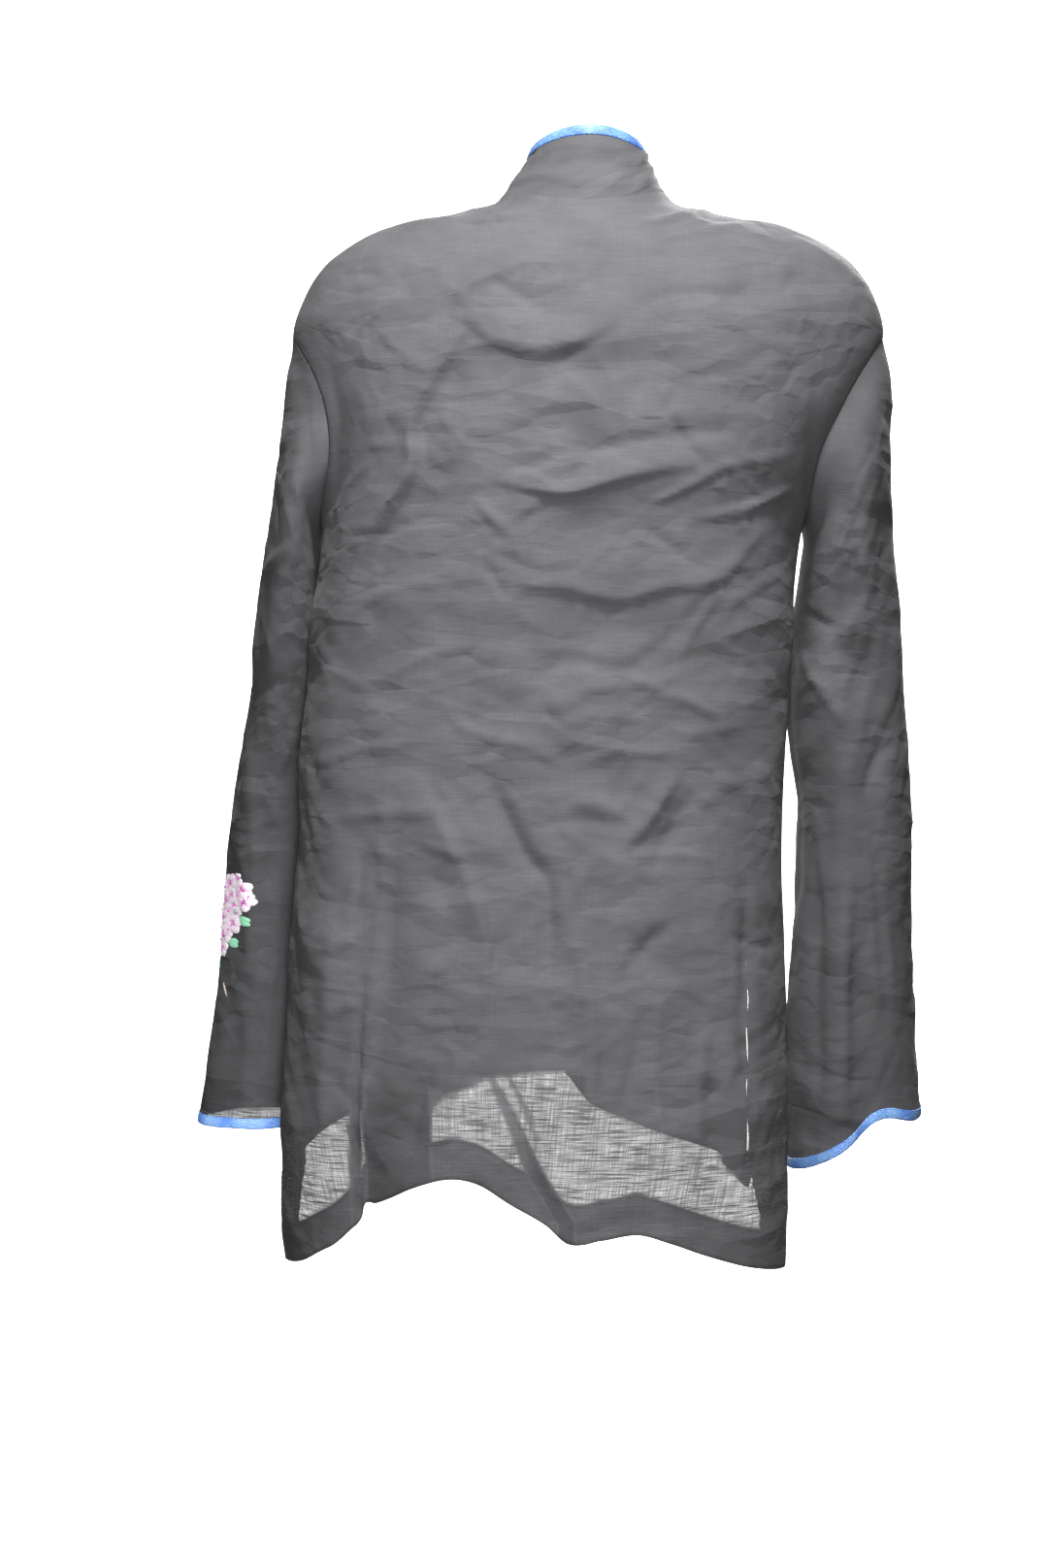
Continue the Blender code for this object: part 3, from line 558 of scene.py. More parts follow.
def scattered_creases(half_width, top, bottom, count, seed):
    """Small pressed creases strewn unevenly over a piece, in millimetres on its cloth.

    They lie mostly across at the top and turn more upright towards the bottom.
    """
    chance = np.random.default_rng(seed)
    creases = []
    for _ in range(count):
        u, v = chance.uniform(-half_width, half_width), chance.uniform(top, bottom)
        lower = (v - top) / (bottom - top)
        turn = math.radians(chance.normal(28 + 26 * lower, 22) * chance.choice((-1, 1)))
        length = chance.uniform(18, 48) * chance.uniform(0.7, 1.8)
        bow = chance.normal(0, 0.12) * length
        dx, dy = math.cos(turn) * length / 2, math.sin(turn) * length / 2
        line = ((u - dx, v - dy), (u - dy * bow / length, v + dx * bow / length),
                (u + dx, v + dy))
        height = chance.uniform(0.25, 1.3) * chance.choice((-1, 1, 1))
        creases.append((height, chance.uniform(5, 16), chance.uniform(3, 7), line))
    return creases


def smooth_noise(u, v, depth):
    """Noise at places of the cloth."""
    places = zip(u.ravel().tolist(), v.ravel().tolist())
    return np.fromiter((noise.noise((a, b, depth)) for a, b in places), float,
                       u.size).reshape(u.shape)


def crumple(u, v, octaves, seed):
    """Soft uneven crumpling over the cloth.

    Columns of octaves: width and length of one crumple and its height, in millimetres.
    """
    total = np.zeros(u.shape)
    for number, (width, length, height) in enumerate(octaves):
        a, b = u * 1000 / width, v * 1000 / length
        depth = seed + 7.3 * number
        ridged = smooth_noise(a + 0.35 * np.sin(b * 1.7), b, depth)
        patches = smooth_noise(u * 320 / width, v * 320 / length, depth + 3.1)
        total += (height / 1000 * (0.4 - np.minimum(np.abs(ridged) * 1.6, 1.0))
                  * np.clip(0.45 + 1.6 * patches, 0.0, 1.2))
    return total


def facets(u, v, octaves, seed):
    """Flat facets that meet at straight sharp creases, as washed linen dries.

    Each height is the difference of two squared distances, each to the nearest of its own
    scattered points. That is flat everywhere but at the creases.
    """
    total = np.zeros(u.shape)
    for number, (width, length, turn, height) in enumerate(octaves):
        scatter = np.random.default_rng(seed + number).uniform(0, 1, (2, 64, 64, 2))
        sine, cosine = wave(turn)
        a = (u * cosine - v * sine) * 1000 / width
        b = (u * sine + v * cosine) * 1000 / length
        cell_a, cell_b = np.floor(a).astype(int), np.floor(b).astype(int)
        nearest = np.full((2,) + u.shape, np.inf)
        for step_a in range(-2, 3):
            for step_b in range(-2, 3):
                spot = scatter[:, (cell_a + step_a) % 64, (cell_b + step_b) % 64]
                far = ((cell_a + step_a + spot[..., 0] - a) ** 2
                       + (cell_b + step_b + spot[..., 1] - b) ** 2)
                nearest = np.minimum(nearest, far)
        patches = smooth_noise(a * 0.3, b * 0.3, seed + 0.5)
        total += height / 1000 * (nearest[0] - nearest[1]) * np.clip(0.65 + 1.5 * patches, 0.1,
                                                                     1.3)
    return total


def add_sheet(name, strips, thickness, material, closed=False, slit=None, armholes=None):
    """One cloth object, a closed thin shell, from strips of (points, uv, density) grids.

    A slit, where light comes straight through, has rows in the photo's pixels: down, across,
    half its width. The cloth is smoother beside its armholes, given as points.
    """
    vertices, faces, corners, densities_and_painted_shade = [], [], [], []
    for points, uv, density_and_painted_shade in strips:
        densities_and_painted_shade.append(np.broadcast_to(density_and_painted_shade, points.shape[:2]).ravel())
        rows, columns = points.shape[:2]
        base = sum(len(v) for v in vertices)
        index = base + np.arange(rows * columns).reshape(rows, columns)
        if closed:
            index = np.concatenate([index, index[:, :1]], axis=1)
        quads, corner = (np.stack([grid[:-1, :-1], grid[1:, :-1], grid[1:, 1:], grid[:-1, 1:]], 2)
                         for grid in (index, uv))
        vertices.append(points.reshape(-1, 3))
        faces.append(quads.reshape(-1, 4))
        corners.append(corner.reshape(-1, 2))
    places = np.concatenate(vertices)
    mesh = bpy.data.meshes.new(name)
    mesh.from_pydata(places.tolist(), [], np.concatenate(faces).tolist())
    layer = mesh.uv_layers.new(name="cloth")
    layer.uv.foreach_set("vector", np.concatenate(corners).ravel())
    # Closeness sets how much light the weave lets through, and above 1 it also darkens the colour
    # as painted shade
    values = {"closeness_and_painted_shade": np.concatenate(densities_and_painted_shade)}
    if slit:
        seen_x, seen_y = in_photo(places)
        down, across, half_width = zip(*slit)
        beside = (seen_x - np.interp(seen_y, down, across)) / np.interp(seen_y, down, half_width)
        values["from_slit"] = NO_SLIT + np.clip(beside, -60, 60)
    if armholes is not None:
        far = away_from(places[:, None], armholes)[:, 0]
        values["smoothed"] = 1 - ease((far - 0.008) / 0.040)
    for label, value in values.items():
        attribute = mesh.attributes.new(label, "FLOAT", "POINT")
        attribute.data.foreach_set("value", value.astype(np.float32))
    mesh.shade_smooth()
    mesh.materials.append(material)
    sheet = add_object(name, mesh)
    shell = sheet.modifiers.new("Shell", "SOLIDIFY")
    shell.thickness = thickness
    shell.offset = 0.0
    bpy.context.view_layer.objects.active = sheet
    bpy.ops.object.modifier_apply(modifier=shell.name)
    return sheet


# Light plain-weave linen, yarn-dyed and washed: matt, a little hairy, with uneven slubby
# threads. One layer lets light through between its threads. The real threads lie 0.5 mm apart
# and are drawn a little coarser, so that they show.
linen = bpy.data.materials.new("washed_plain_weave_linen")
tree = new_tree(linen)
cloth_uv = add_node(tree, "UVMap", uv_map="cloth")
# Warp and weft. Columns: the threads' pitch and unevenness along them in mm, least and most
# cover; pitch and length of the thick slubs, a few of the threads, and the cover they add
WEAVE = ((0.70, 26.0, 0.48, 0.74, 1.9, 34.0, 0.10), (0.75, 18.0, 0.40, 0.78, 1.4, 24.0, 0.30))
cover = []
for is_weft, (pitch, length, least, most, slub_pitch, slub_length, added) in enumerate(WEAVE):
    turned = slice(None, None, -1 if is_weft else 1)
    stretched = add_node(tree, "Mapping", {
        "Vector": cloth_uv, "Scale": (1000 / pitch, 1000 / length)[turned] + (1,)})
    threads = add_node(tree, "TexNoise", {"Vector": stretched, "Scale": 1.0, "Roughness": 0.6},
                       noise_dimensions="2D")
    fine = add_node(tree, "MapRange", {"Value": threads, "From Min": 0.33, "From Max": 0.68,
                                       "To Min": least, "To Max": most})
    strewn = add_node(tree, "Mapping", {
        "Vector": cloth_uv, "Location": (7, 3, 0),
        "Scale": (1000 / slub_pitch, 1000 / slub_length)[turned] + (1,)})
    slubs = add_node(tree, "TexNoise", {"Vector": strewn, "Scale": 1.0, "Detail": 1.0},
                     noise_dimensions="2D")
    thick = add_node(tree, "MapRange", {"Value": slubs, "From Min": 0.50, "From Max": 0.68,
                                        "To Max": added})
    cover.append(add_node(tree, "Math", {0: fine, 1: thick}, operation="ADD", use_clamp=True))
open_warp, open_weft = [add_node(tree, "Math", {0: 1.0, 1: part}, operation="SUBTRACT")
                        for part in cover]
gap = add_node(tree, "Math", {0: open_warp, 1: open_weft}, operation="MULTIPLY")
one_face = add_node(tree, "Math", {0: gap, 1: 0.62}, operation="POWER")
closeness_and_painted_shade, slit, smoothed = (add_node(tree, "Attribute", attribute_name=label).outputs["Fac"]
                             for label in ("closeness_and_painted_shade", "from_slit", "smoothed"))
openness = add_node(tree, "Math", {0: 1.0, 1: closeness_and_painted_shade}, operation="SUBTRACT",
                    use_clamp=True)
passed = add_node(tree, "Math", {0: one_face, 1: openness}, operation="MULTIPLY")
solid = add_node(tree, "Math", {0: 1.0, 1: passed}, operation="SUBTRACT")
beside = add_node(tree, "Math", {0: slit, 1: NO_SLIT}, operation="SUBTRACT")
beside = add_node(tree, "Math", {0: beside}, operation="ABSOLUTE")
shut = add_node(tree, "MapRange", {"Value": beside, "From Min": 0.6, "From Max": 1.3,
                                   "To Min": 0.25})
solid = add_node(tree, "Math", {0: solid, 1: shut}, operation="MULTIPLY")
thread_sum = add_node(tree, "Math", {0: cover[0], 1: cover[1]}, operation="ADD")
cloud = add_node(tree, "TexNoise", {"Vector": cloth_uv, "Scale": 26.0, "Detail": 3.0},
                 noise_dimensions="2D")
heather = add_node(tree, "Math", {0: thread_sum, 1: cloud}, operation="MULTIPLY")
dye = add_node(tree, "MapRange", {"Value": heather, "From Min": 0.3, "From Max": 0.95})
colour = add_node(tree, "Mix", {0: dye, 6: linear("#646466"), 7: linear("#6e6e71")},
                  data_type="RGBA")
# Painted shade: where the closeness runs above 1, as where the cloth lies in several layers,
# the colour is darkened, standing in for the light that does not come through it
painted_layer_shade = add_node(tree, "MapRange", {"Value": closeness_and_painted_shade, "From Min": 1.0, "From Max": 1.5,
                                      "To Min": 1.0, "To Max": 0.5})
dark = add_node(tree, "Mix", {0: 1.0, 6: colour.outputs[2], 7: painted_layer_shade}, data_type="RGBA",
                blend_type="MULTIPLY")
# Small pressed facets, made as the cloth's own. Columns: facets a metre across and down, turn in
# degrees, height in metres
PRESSED = ((8.5, 22.0, 42, 0.0036), (15.0, 42.0, -50, 0.0022), (46.0, 80.0, 14, 0.0010))
crispness = add_node(tree, "MapRange", {"Value": smoothed, "To Min": 1.0, "To Max": 0.25})
below = {}
for number, (across, down, turn, height) in enumerate(PRESSED):
    patches = add_node(tree, "TexNoise", {"Vector": cloth_uv, "Scale": across * 0.35},
                       noise_dimensions="2D")
    pressed = add_node(tree, "MapRange", {"Value": patches, "From Min": 0.36, "From Max": 0.62,
                                          "To Min": 0.05})
    squared = []
    for shift in (0.0, 37.3):
        turned_uv = add_node(tree, "Mapping", {
            "Vector": cloth_uv, "Location": (shift, shift + number, 0),
            "Rotation": (0, 0, math.radians(turn)), "Scale": (across, down, 1.0)})
        spots = add_node(tree, "TexVoronoi", {"Vector": turned_uv, "Scale": 1.0},
                         voronoi_dimensions="2D", feature="F1")
        squared.append(add_node(tree, "Math", {0: spots, 1: 2.0}, operation="POWER"))
    flat_parts = add_node(tree, "Math", {0: squared[0], 1: squared[1]}, operation="SUBTRACT")
    facet_height = add_node(tree, "Math", {0: flat_parts, 1: pressed}, operation="MULTIPLY")
    creased = add_node(tree, "Bump", {"Height": facet_height, "Strength": crispness,
                                      "Distance": height, **below})
    below = {"Normal": creased}
weave = add_node(tree, "Bump", {"Height": thread_sum, "Strength": 0.25, "Distance": 0.00025,
                                **below})
surface = add_node(tree, "BsdfPrincipled", {
    "Base Color": dark.outputs[2], "Roughness": 0.85, "Alpha": solid, "Normal": weave,
    "Sheen Weight": 0.06, "Sheen Roughness": 0.5, "Specular IOR Level": 0.2})
add_node(tree, "OutputMaterial", {"Surface": surface})

# The back's creases, placed in the photo's pixels. Columns: height in millimetres, width on the
# upper or left side, width on the lower or right side, points drawn rightwards or upwards
BACK_CREASES = (
    # across the shoulder blades
    (-1.1, 8, 12, ((497, 282), (533, 302), (562, 322))),
    (1.6, 34, 14, ((474, 300), (499, 341), (523, 353), (560, 360), (600, 350), (641, 338))),
    (1.6, 14, 8, ((470, 330), (480, 300), (500, 286), (530, 278))),
    (-1.4, 10, 12, ((562, 381), (611, 352), (642, 334))),
    (-1.2, 9, 16, ((640, 330), (685, 304), (736, 301), (812, 303))),
    (1.2, 14, 9, ((440, 210), (540, 224), (640, 222))),
    (-0.9, 9, 12, ((515, 246), (545, 240), (560, 250))),
    (1.5, 10, 5, ((648, 234), (700, 224), (748, 214))),
    (1.2, 8, 5, ((668, 250), (716, 240), (770, 232))),
    (1.1, 8, 5, ((466, 238), (506, 226), (546, 224))),
    (-1.0, 8, 6, ((700, 216), (740, 226), (780, 224))),
    # long drag line down to the left seam
    (4.6, 46, 11, ((330, 690), (360, 615), (391, 544), (428, 483), (425, 440), (445, 394),
                  (479, 338), (494, 318))),
    (1.0, 7, 7, ((338, 548), (352, 515), (367, 490), (390, 472))),
    (0.9, 7, 7, ((356, 362), (375, 336), (398, 315), (428, 290))),
    (0.9, 6, 8, ((392, 431), (410, 424), (430, 427))),
    (0.9, 6, 8, ((378, 459), (400, 456), (415, 452))),
    # the bright band across the middle
    (-1.6, 10, 16, ((510, 491), (546, 477), (594, 463), (634, 456), (700, 446), (760, 440))),
    (2.2, 20, 8, ((512, 494), (545, 503), (587, 507), (634, 494), (682, 483), (720, 477))),
    (-1.5, 9, 9, ((684, 420), (705, 452), (728, 480))),
    (1.3, 9, 7, ((664, 522), (712, 500), (745, 482), (782, 474), (820, 466))),
    (1.7, 9, 8, ((706, 535), (753, 529), (786, 517), (820, 502))),
    (-1.4, 9, 10, ((530, 545), (552, 528), (573, 514))),
    (1.4, 10, 8, ((487, 512), (505, 532), (520, 543))),
    (-1.3, 8, 9, ((664, 546), (688, 560), (708, 573))),
    (-1.3, 8, 8, ((499, 578), (511, 600), (524, 620))),
    (1.9, 20, 8, ((518, 621), (546, 606), (584, 606), (634, 618), (682, 606), (736, 598),
                  (762, 576), (783, 548), (800, 546))),
    (1.1, 7, 7, ((702, 678), (714, 650), (740, 613))),
    (-1.2, 12, 14, ((540, 712), (580, 682), (640, 690), (668, 676), (704, 644))),
    (1.3, 14, 9, ((560, 735), (600, 716), (650, 706), (700, 700))),
    (1.5, 8, 7, ((694, 716), (716, 726), (742, 738))),
    (1.0, 9, 8, ((640, 694), (668, 708), (700, 722))),
    (-1.0, 7, 7, ((560, 730), (570, 740), (580, 748))),
    (1.1, 8, 7, ((575, 752), (604, 740), (640, 738), (670, 748))),
    (-1.0, 12, 10, ((590, 452), (640, 440), (684, 424), (700, 392))),
    (1.0, 10, 9, ((574, 388), (600, 400), (620, 430))),
    (0.9, 9, 9, ((612, 364), (630, 390), (644, 430))),
    (1.0, 9, 9, ((735, 400), (756, 390), (790, 384))),
    (1.1, 10, 8, ((740, 640), (770, 612), (806, 590))),
    # valleys beside the armholes
    (-1.3, 26, 22, ((322, 640), (340, 540), (346, 450), (340, 380), (332, 330))),
    (-0.4, 26, 24, ((818, 680), (830, 560), (836, 450), (842, 380), (852, 330))),
    # below the waist
    (1.2, 10, 9, ((735, 804), (752, 806), (768, 814))),
    (1.2, 12, 9, ((586, 828), (612, 830), (642, 839))),
    (-1.1, 9, 10, ((552, 851), (600, 846), (652, 852))),
    (-3.4, 18, 16, ((567, 995), (562, 910), (540, 880), (500, 796))),
    (3.0, 30, 10, ((500, 1040), (500, 960), (470, 880), (430, 800))),
    (-1.8, 18, 15, ((672, 900), (694, 852), (722, 806))),
    (-1.6, 13, 13, ((642, 1004), (668, 974), (698, 946))),
    (2.6, 20, 9, ((640, 880), (668, 846), (700, 790))),
    (-1.2, 9, 9, ((748, 963), (774, 972), (802, 976))),
    (-1.2, 8, 8, ((368, 944), (371, 910), (373, 878))),
    (2.4, 26, 14, ((372, 1185), (376, 1100), (388, 1000), (394, 900), (398, 800))),
    (1.0, 12, 10, ((306, 792), (360, 778), (442, 758))),
    (1.0, 12, 10, ((330, 846), (392, 838), (444, 836))),
    (1.0, 10, 8, ((318, 986), (356, 970), (398, 949))),
    (-1.2, 14, 12, ((420, 1192), (432, 1130), (452, 1058))),
    (-1.2, 12, 10, ((640, 1152), (650, 1110), (662, 1058))),
    (-0.9, 12, 12, ((586, 1262), (552, 1212), (530, 1160), (503, 1100))),
    (-0.6, 10, 10, ((552, 1152), (534, 1128), (519, 1102))),
    (1.4, 16, 12, ((726, 1246), (720, 1140), (732, 1040))),
    (1.2, 14, 12, ((460, 1180), (474, 1080), (490, 1000))),
    (-1.8, 5, 9, ((367, 1262), (366, 1180), (369, 1100), (374, 1000))),
    (1.3, 18, 12, ((330, 1240), (334, 1120), (340, 1000), (336, 880))),
    (1.5, 22, 10, ((600, 1200), (612, 1090), (600, 980), (574, 900))),
    (1.3, 18, 10, ((690, 1210), (676, 1100), (684, 1000))),
    (-1.3, 12, 14, ((770, 1140), (764, 1040), (770, 940), (760, 860))),
    (1.1, 9, 7, ((400, 700), (440, 676), (492, 668))),
    (1.1, 9, 7, ((356, 636), (400, 610), (452, 604))),
    (-1.0, 8, 8, ((380, 566), (420, 540), (470, 536))),
    (1.2, 10, 7, ((596, 790), (640, 774), (700, 780))),
    (1.1, 9, 7, ((660, 742), (710, 756), (770, 748))),
    (1.0, 9, 7, ((468, 742), (500, 760), (548, 770))),
    (1.0, 9, 7, ((420, 860), (470, 880), (520, 874))),
    (1.1, 9, 7, ((620, 900), (680, 880), (740, 890))),
    (1.0, 9, 7, ((330, 1060), (350, 1040), (378, 1034))),
)

# Inner edges of the turned vent facings where they show through. Columns: down, across
LEFT_FACING = ((1000, 322), (1162, 319), (1253, 307), (1300, 306))
RIGHT_FACING = ((985, 771), (1160, 771), (1195, 770), (1259, 784), (1300, 786))
# The narrow gap between the back's turned right vent edge and the front behind it, where light
# comes through in dashes. Columns: down, across, half width
VENT_GAP = ((980, 768.5, 0.02), (988, 769, 0.3), (1000, 769.5, 0.3), (1006, 769.5, 0.02),
            (1014, 770, 0.05), (1020, 770.4, 0.7), (1032, 771, 0.9), (1040, 770.4, 0.6),
            (1046, 770, 0.1), (1054, 769.4, 0.1), (1060, 769.2, 0.7), (1074, 769.8, 1.0),
            (1092, 770.6, 0.6), (1098, 770.6, 0.1), (1106, 770.2, 0.1), (1111, 769.8, 0.6),
            (1120, 769.4, 1.0), (1128, 769.6, 0.5), (1134, 770, 0.2), (1150, 770, 0.3),
            (1158, 770.4, 0.9), (1176, 770.8, 1.5), (1186, 770.4, 1.2), (1200, 770, 0.05))
# The fronts' lower edges as they show through the back. The cloth of the back lies on the fronts'
# above them and looks closed. Columns: across, down
FRONT_HEM_SEEN = ((290, 1168), (321, 1161), (345, 1155), (356, 1146), (373, 1128), (445, 1143),
                  (458, 1129), (482, 1122), (503, 1110), (562, 1104), (601, 1103), (605, 1134),
                  (620, 1143), (639, 1151), (692, 1170), (740, 1181), (747, 1202), (761, 1214),
                  (766, 1188), (771, 1158), (820, 1150))
# Places near the hem where the cloth is tucked and lies double or more. Columns: how closed, top,
# length of the fade at the top, sides as (down, left, right). How closed, above 1, also darkens
# the colour there as painted shade.
BACK_TUCKS = (
    (1.30, 1078, 60, ((1078, 392, 424), (1120, 376, 440), (1160, 374, 445), (1280, 380, 446))),
    (1.16, 1060, 60, ((1060, 362, 372), (1180, 360, 372), (1280, 362, 372))),
    (0.55, 1092, 30, ((1092, 496, 502), (1110, 502, 510), (1160, 523, 538), (1200, 538, 556))),
    (1.28, 1165, 50, ((1165, 526, 538), (1215, 545, 564), (1262, 574, 594))),
    (0.45, 1096, 20, ((1096, 515, 519), (1150, 541, 549), (1170, 550, 554))),
)


def relief(base, uv, from_seam, strewn, placed, crumple_seed, facet_seed):
    """Height of a torso panel's creases, facets and crumpling, less beside its seams.

    The strewn creases are a list, and the ones placed from the photo are given as their height.
    """
    u, v = uv[..., 0], uv[..., 1]
    height = crease_height(u * 1000, v * -1000, strewn)
    height += crumple(u, v, CRUMPLES, crumple_seed)
    # The facets lie across above the waist and run more steeply below it
    upper = ease((base[..., 2] + 0.52) / 0.20)
    height += (facets(u, v, UPPER_FACETS, facet_seed) * upper
               + facets(u, v, LOWER_FACETS, facet_seed + 5) * (1 - upper))
    height *= 0.15 + 0.85 * ease((from_seam - 0.010) / 0.055)
    calm = ease(from_seam / 0.016) * ease(arc_from_edge(base, 0) / 0.012)
    return (height + CREASE_DEPTH * placed) * calm


def tuck_under(points, uv, density_and_painted_shade):
    """Carry a sheet on for two millimetres inside the collar stand, so that its edge is hidden."""
    inward = unit(points[0].mean(axis=0) - points[0])
    first = points[:1] + inward[None] * 0.0022 + np.array([0, 0, 0.0018])
    return (np.concatenate([first, points]), np.concatenate([uv[:1] + (0, 0.003), uv]),
            np.concatenate([density_and_painted_shade[:1], density_and_painted_shade]))


def turn_in(points, uv, outward, density_and_painted_shade):
    """Carry a sheet on round its lower edge and back up inside, as a turned hem."""
    hem = slice(None, -HEM_ROWS - 2, -1)
    fold = points[-1:] - outward[-1:] * TURN_GAP / 2 - np.array([0, 0, TURN_GAP / 3])
    inside_uv = uv[-1:] + (uv[-1:] - uv[hem])
    return (np.concatenate([points, fold, points[hem] - outward[hem] * TURN_GAP]),
            np.concatenate([uv, uv[-1:] - (0, TURN_GAP), inside_uv - (0, 2 * TURN_GAP)]),
            np.concatenate([density_and_painted_shade, density_and_painted_shade[-1:], density_and_painted_shade[hem]]))


def vent_facing(points, uv, outward, rows, from_edge, inner_edge=None):
    """The strip of a vent's edge that is turned in, as a grid of its own inside the sheet.

    The inner edge, where it shows, is a line in the photo's pixels: (down, across).
    """
    strip, strip_uv = [], []
    for row in range(rows, len(points)):
        order = np.argsort(from_edge[row])
        run = from_edge[row][order]
        width = FACING_WIDTH
        if inner_edge:
            across, down = in_photo(points[row][order])
            wanted = np.interp(down, *zip(*inner_edge))
            beside = np.nonzero(np.diff(np.sign(across - wanted)))[0]
            width = max(run[beside[0]] if len(beside) else 0.0, FACING_WIDTH)
        widths = np.linspace(TURN_GAP / 3, width, FACING_COLUMNS)
        place, away = (np.stack([np.interp(widths, run, table[row][order][:, k])
                                 for k in range(3)], -1) for table in (points, outward))
        # It lies inside the turned hem at the bottom
        depth = TURN_GAP * (1.0 if row < len(points) - HEM_ROWS - 2 else 1.9)
        lift = np.minimum(1.0, np.arange(FACING_COLUMNS) + 0.35) * depth
        strip.append(place - away * lift[:, None])
        strip_uv.append(np.stack([widths, np.full(FACING_COLUMNS, uv[row, 0, 1])], -1))
    return np.array(strip), np.array(strip_uv), TURNED


def inside_out(strip):
    """The same strip with its faces turned over."""
    return strip[0][:, ::-1], strip[1][:, ::-1], strip[2]


def armhole_ends(points, columns):
    """The points of a panel's edge or edges along the armhole."""
    return points[UNDERARM_ROW - ARMHOLE_STEPS:UNDERARM_ROW + 1, columns].reshape(-1, 3)


level, angle, vent_row = panel_rows(0, BACK_COLUMNS)
base = torso_surface(level, angle, 0)
outward = torso_facing(level, angle, 0)
seen_x, seen_y = in_photo(base)
from_seam = away_from(base, base[:vent_row, [0, -1]].reshape(-1, 3))
uv = thread_uv(base)
height = relief(base, uv, from_seam,
                scattered_creases(half_width=200, top=-240, bottom=560, count=420, seed=5),
                crease_height(seen_x, seen_y, BACK_CREASES), crumple_seed=11.0, facet_seed=11)
points = base + outward * height[..., None]
density_and_painted_shade = 0.90 * ease((np.interp(seen_x, *zip(*FRONT_HEM_SEEN)) - seen_y) / 9 + 0.5)
from_hem = arc_from_edge(base, 0, True)
density_and_painted_shade = np.maximum(density_and_painted_shade, TURNED * ease((HEM_TURN + 0.002 - from_hem) / 0.003))
# Tuck values above 1 darken the cloth's colour there as painted shade
for closed, top, fade, sides in BACK_TUCKS:
    down, left, right = zip(*sides)
    inside = (ease((seen_x - np.interp(seen_y, down, left)) / 4 + 0.5)
              * ease((np.interp(seen_y, down, right) - seen_x) / 4 + 0.5)
              * ease((seen_y - top) / fade))
    density_and_painted_shade = density_and_painted_shade + inside * np.maximum(closed - density_and_painted_shade, 0)
facings = [vent_facing(points, uv, outward, vent_row, arc_from_edge(base, 1, from_end), inner_edge)
           for from_end, inner_edge in ((False, LEFT_FACING), (True, RIGHT_FACING))]
strips = [tuck_under(*turn_in(points, uv, outward, density_and_painted_shade)), inside_out(facings[0]), facings[1]]
sewn_sheets = {"back": (points, outward, facings[0][0][:, 0], facings[1][0][:, -1])}
back = add_sheet("back_linen", strips, CLOTH, linen, slit=VENT_GAP,
                 armholes=armhole_ends(points, [0, -1]))
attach(back, "root")
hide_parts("back")


# ---- Fronts
# Two pieces of the same linen. The wearer's right front closes over the left one, and hangs a
# little lower at its side. Both have turned hems and vent facings like the back's.
UNDERLAP_BLEND = 0.030
UNDERLAP_DEPTH = 0.0026
# Creases of the hidden side, in millimetres across and down, as seen from the front
FRONT_CREASES = (
    (1.8, 20, 7, ((-150, 150), (-110, 200), (-84, 262))),
    (1.6, 7, 18, ((150, 150), (118, 196), (96, 250))),
    (1.2, 8, 8, ((-120, 240), (-60, 232), (-20, 250))),
    (-1.2, 8, 10, ((20, 262), (70, 236), (128, 240))),
    (1.3, 12, 6, ((-140, 320), (-90, 330), (-50, 352))),
    (1.2, 12, 6, ((46, 372), (90, 352), (150, 346))),
    (-1.1, 8, 8, ((-96, 470), (-60, 440), (-30, 436))),
    (1.1, 8, 7, ((60, 470), (96, 440), (120, 400))),
    (1.8, 14, 9, ((-70, 690), (-76, 600), (-66, 500))),
    (-1.6, 12, 12, ((84, 660), (88, 580), (70, 500))),
    (1.1, 8, 8, ((-110, 560), (-80, 548), (-40, 556))),
    (1.1, 8, 8, ((30, 590), (70, 574), (110, 580))),
)
for name, panel in (("left", 1), ("right", -1)):
    level, angle, vent_row = panel_rows(panel, FRONT_COLUMNS)
    base = torso_surface(level, angle, panel)
    outward = torso_facing(level, angle, panel)
    if panel > 0:
        under = 1.0 - ease((base[..., 0] - FRONT_EDGE) / UNDERLAP_BLEND)
        base = base - outward * (UNDERLAP_DEPTH * under)[..., None]
    side_column = -1 if panel > 0 else 0
    uv = thread_uv(base)
    height = relief(base, uv, away_from(base, base[:vent_row, side_column]),
                    scattered_creases(half_width=110, top=-240, bottom=540, count=180,
                                      seed=15 + panel),
                    crease_height(base[..., 0] * 1000, base[..., 2] * -1000, FRONT_CREASES),
                    crumple_seed=23.0 + 9 * panel, facet_seed=41 + 9 * panel)
    centre = ease((np.abs(base[..., 0]) - 0.014) / 0.03)
    points = base + outward * (height * (0.15 + 0.85 * centre))[..., None]
    facing = vent_facing(points, uv, outward, vent_row, arc_from_edge(base, 1, panel > 0))
    density_and_painted_shade = np.full(points.shape[:2], 0.94)
    strips = [tuck_under(*turn_in(points, uv, outward, density_and_painted_shade)),
              inside_out(facing) if panel < 0 else facing]
    sewn_sheets["front_" + name] = (points, outward, facing[0][:, -1])
    front = add_sheet("front_%s_linen" % name, strips, CLOTH, linen, slit=VENT_GAP,
                      armholes=armhole_ends(points, [side_column]))
    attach(front, "root")
    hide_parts("front_" + name)


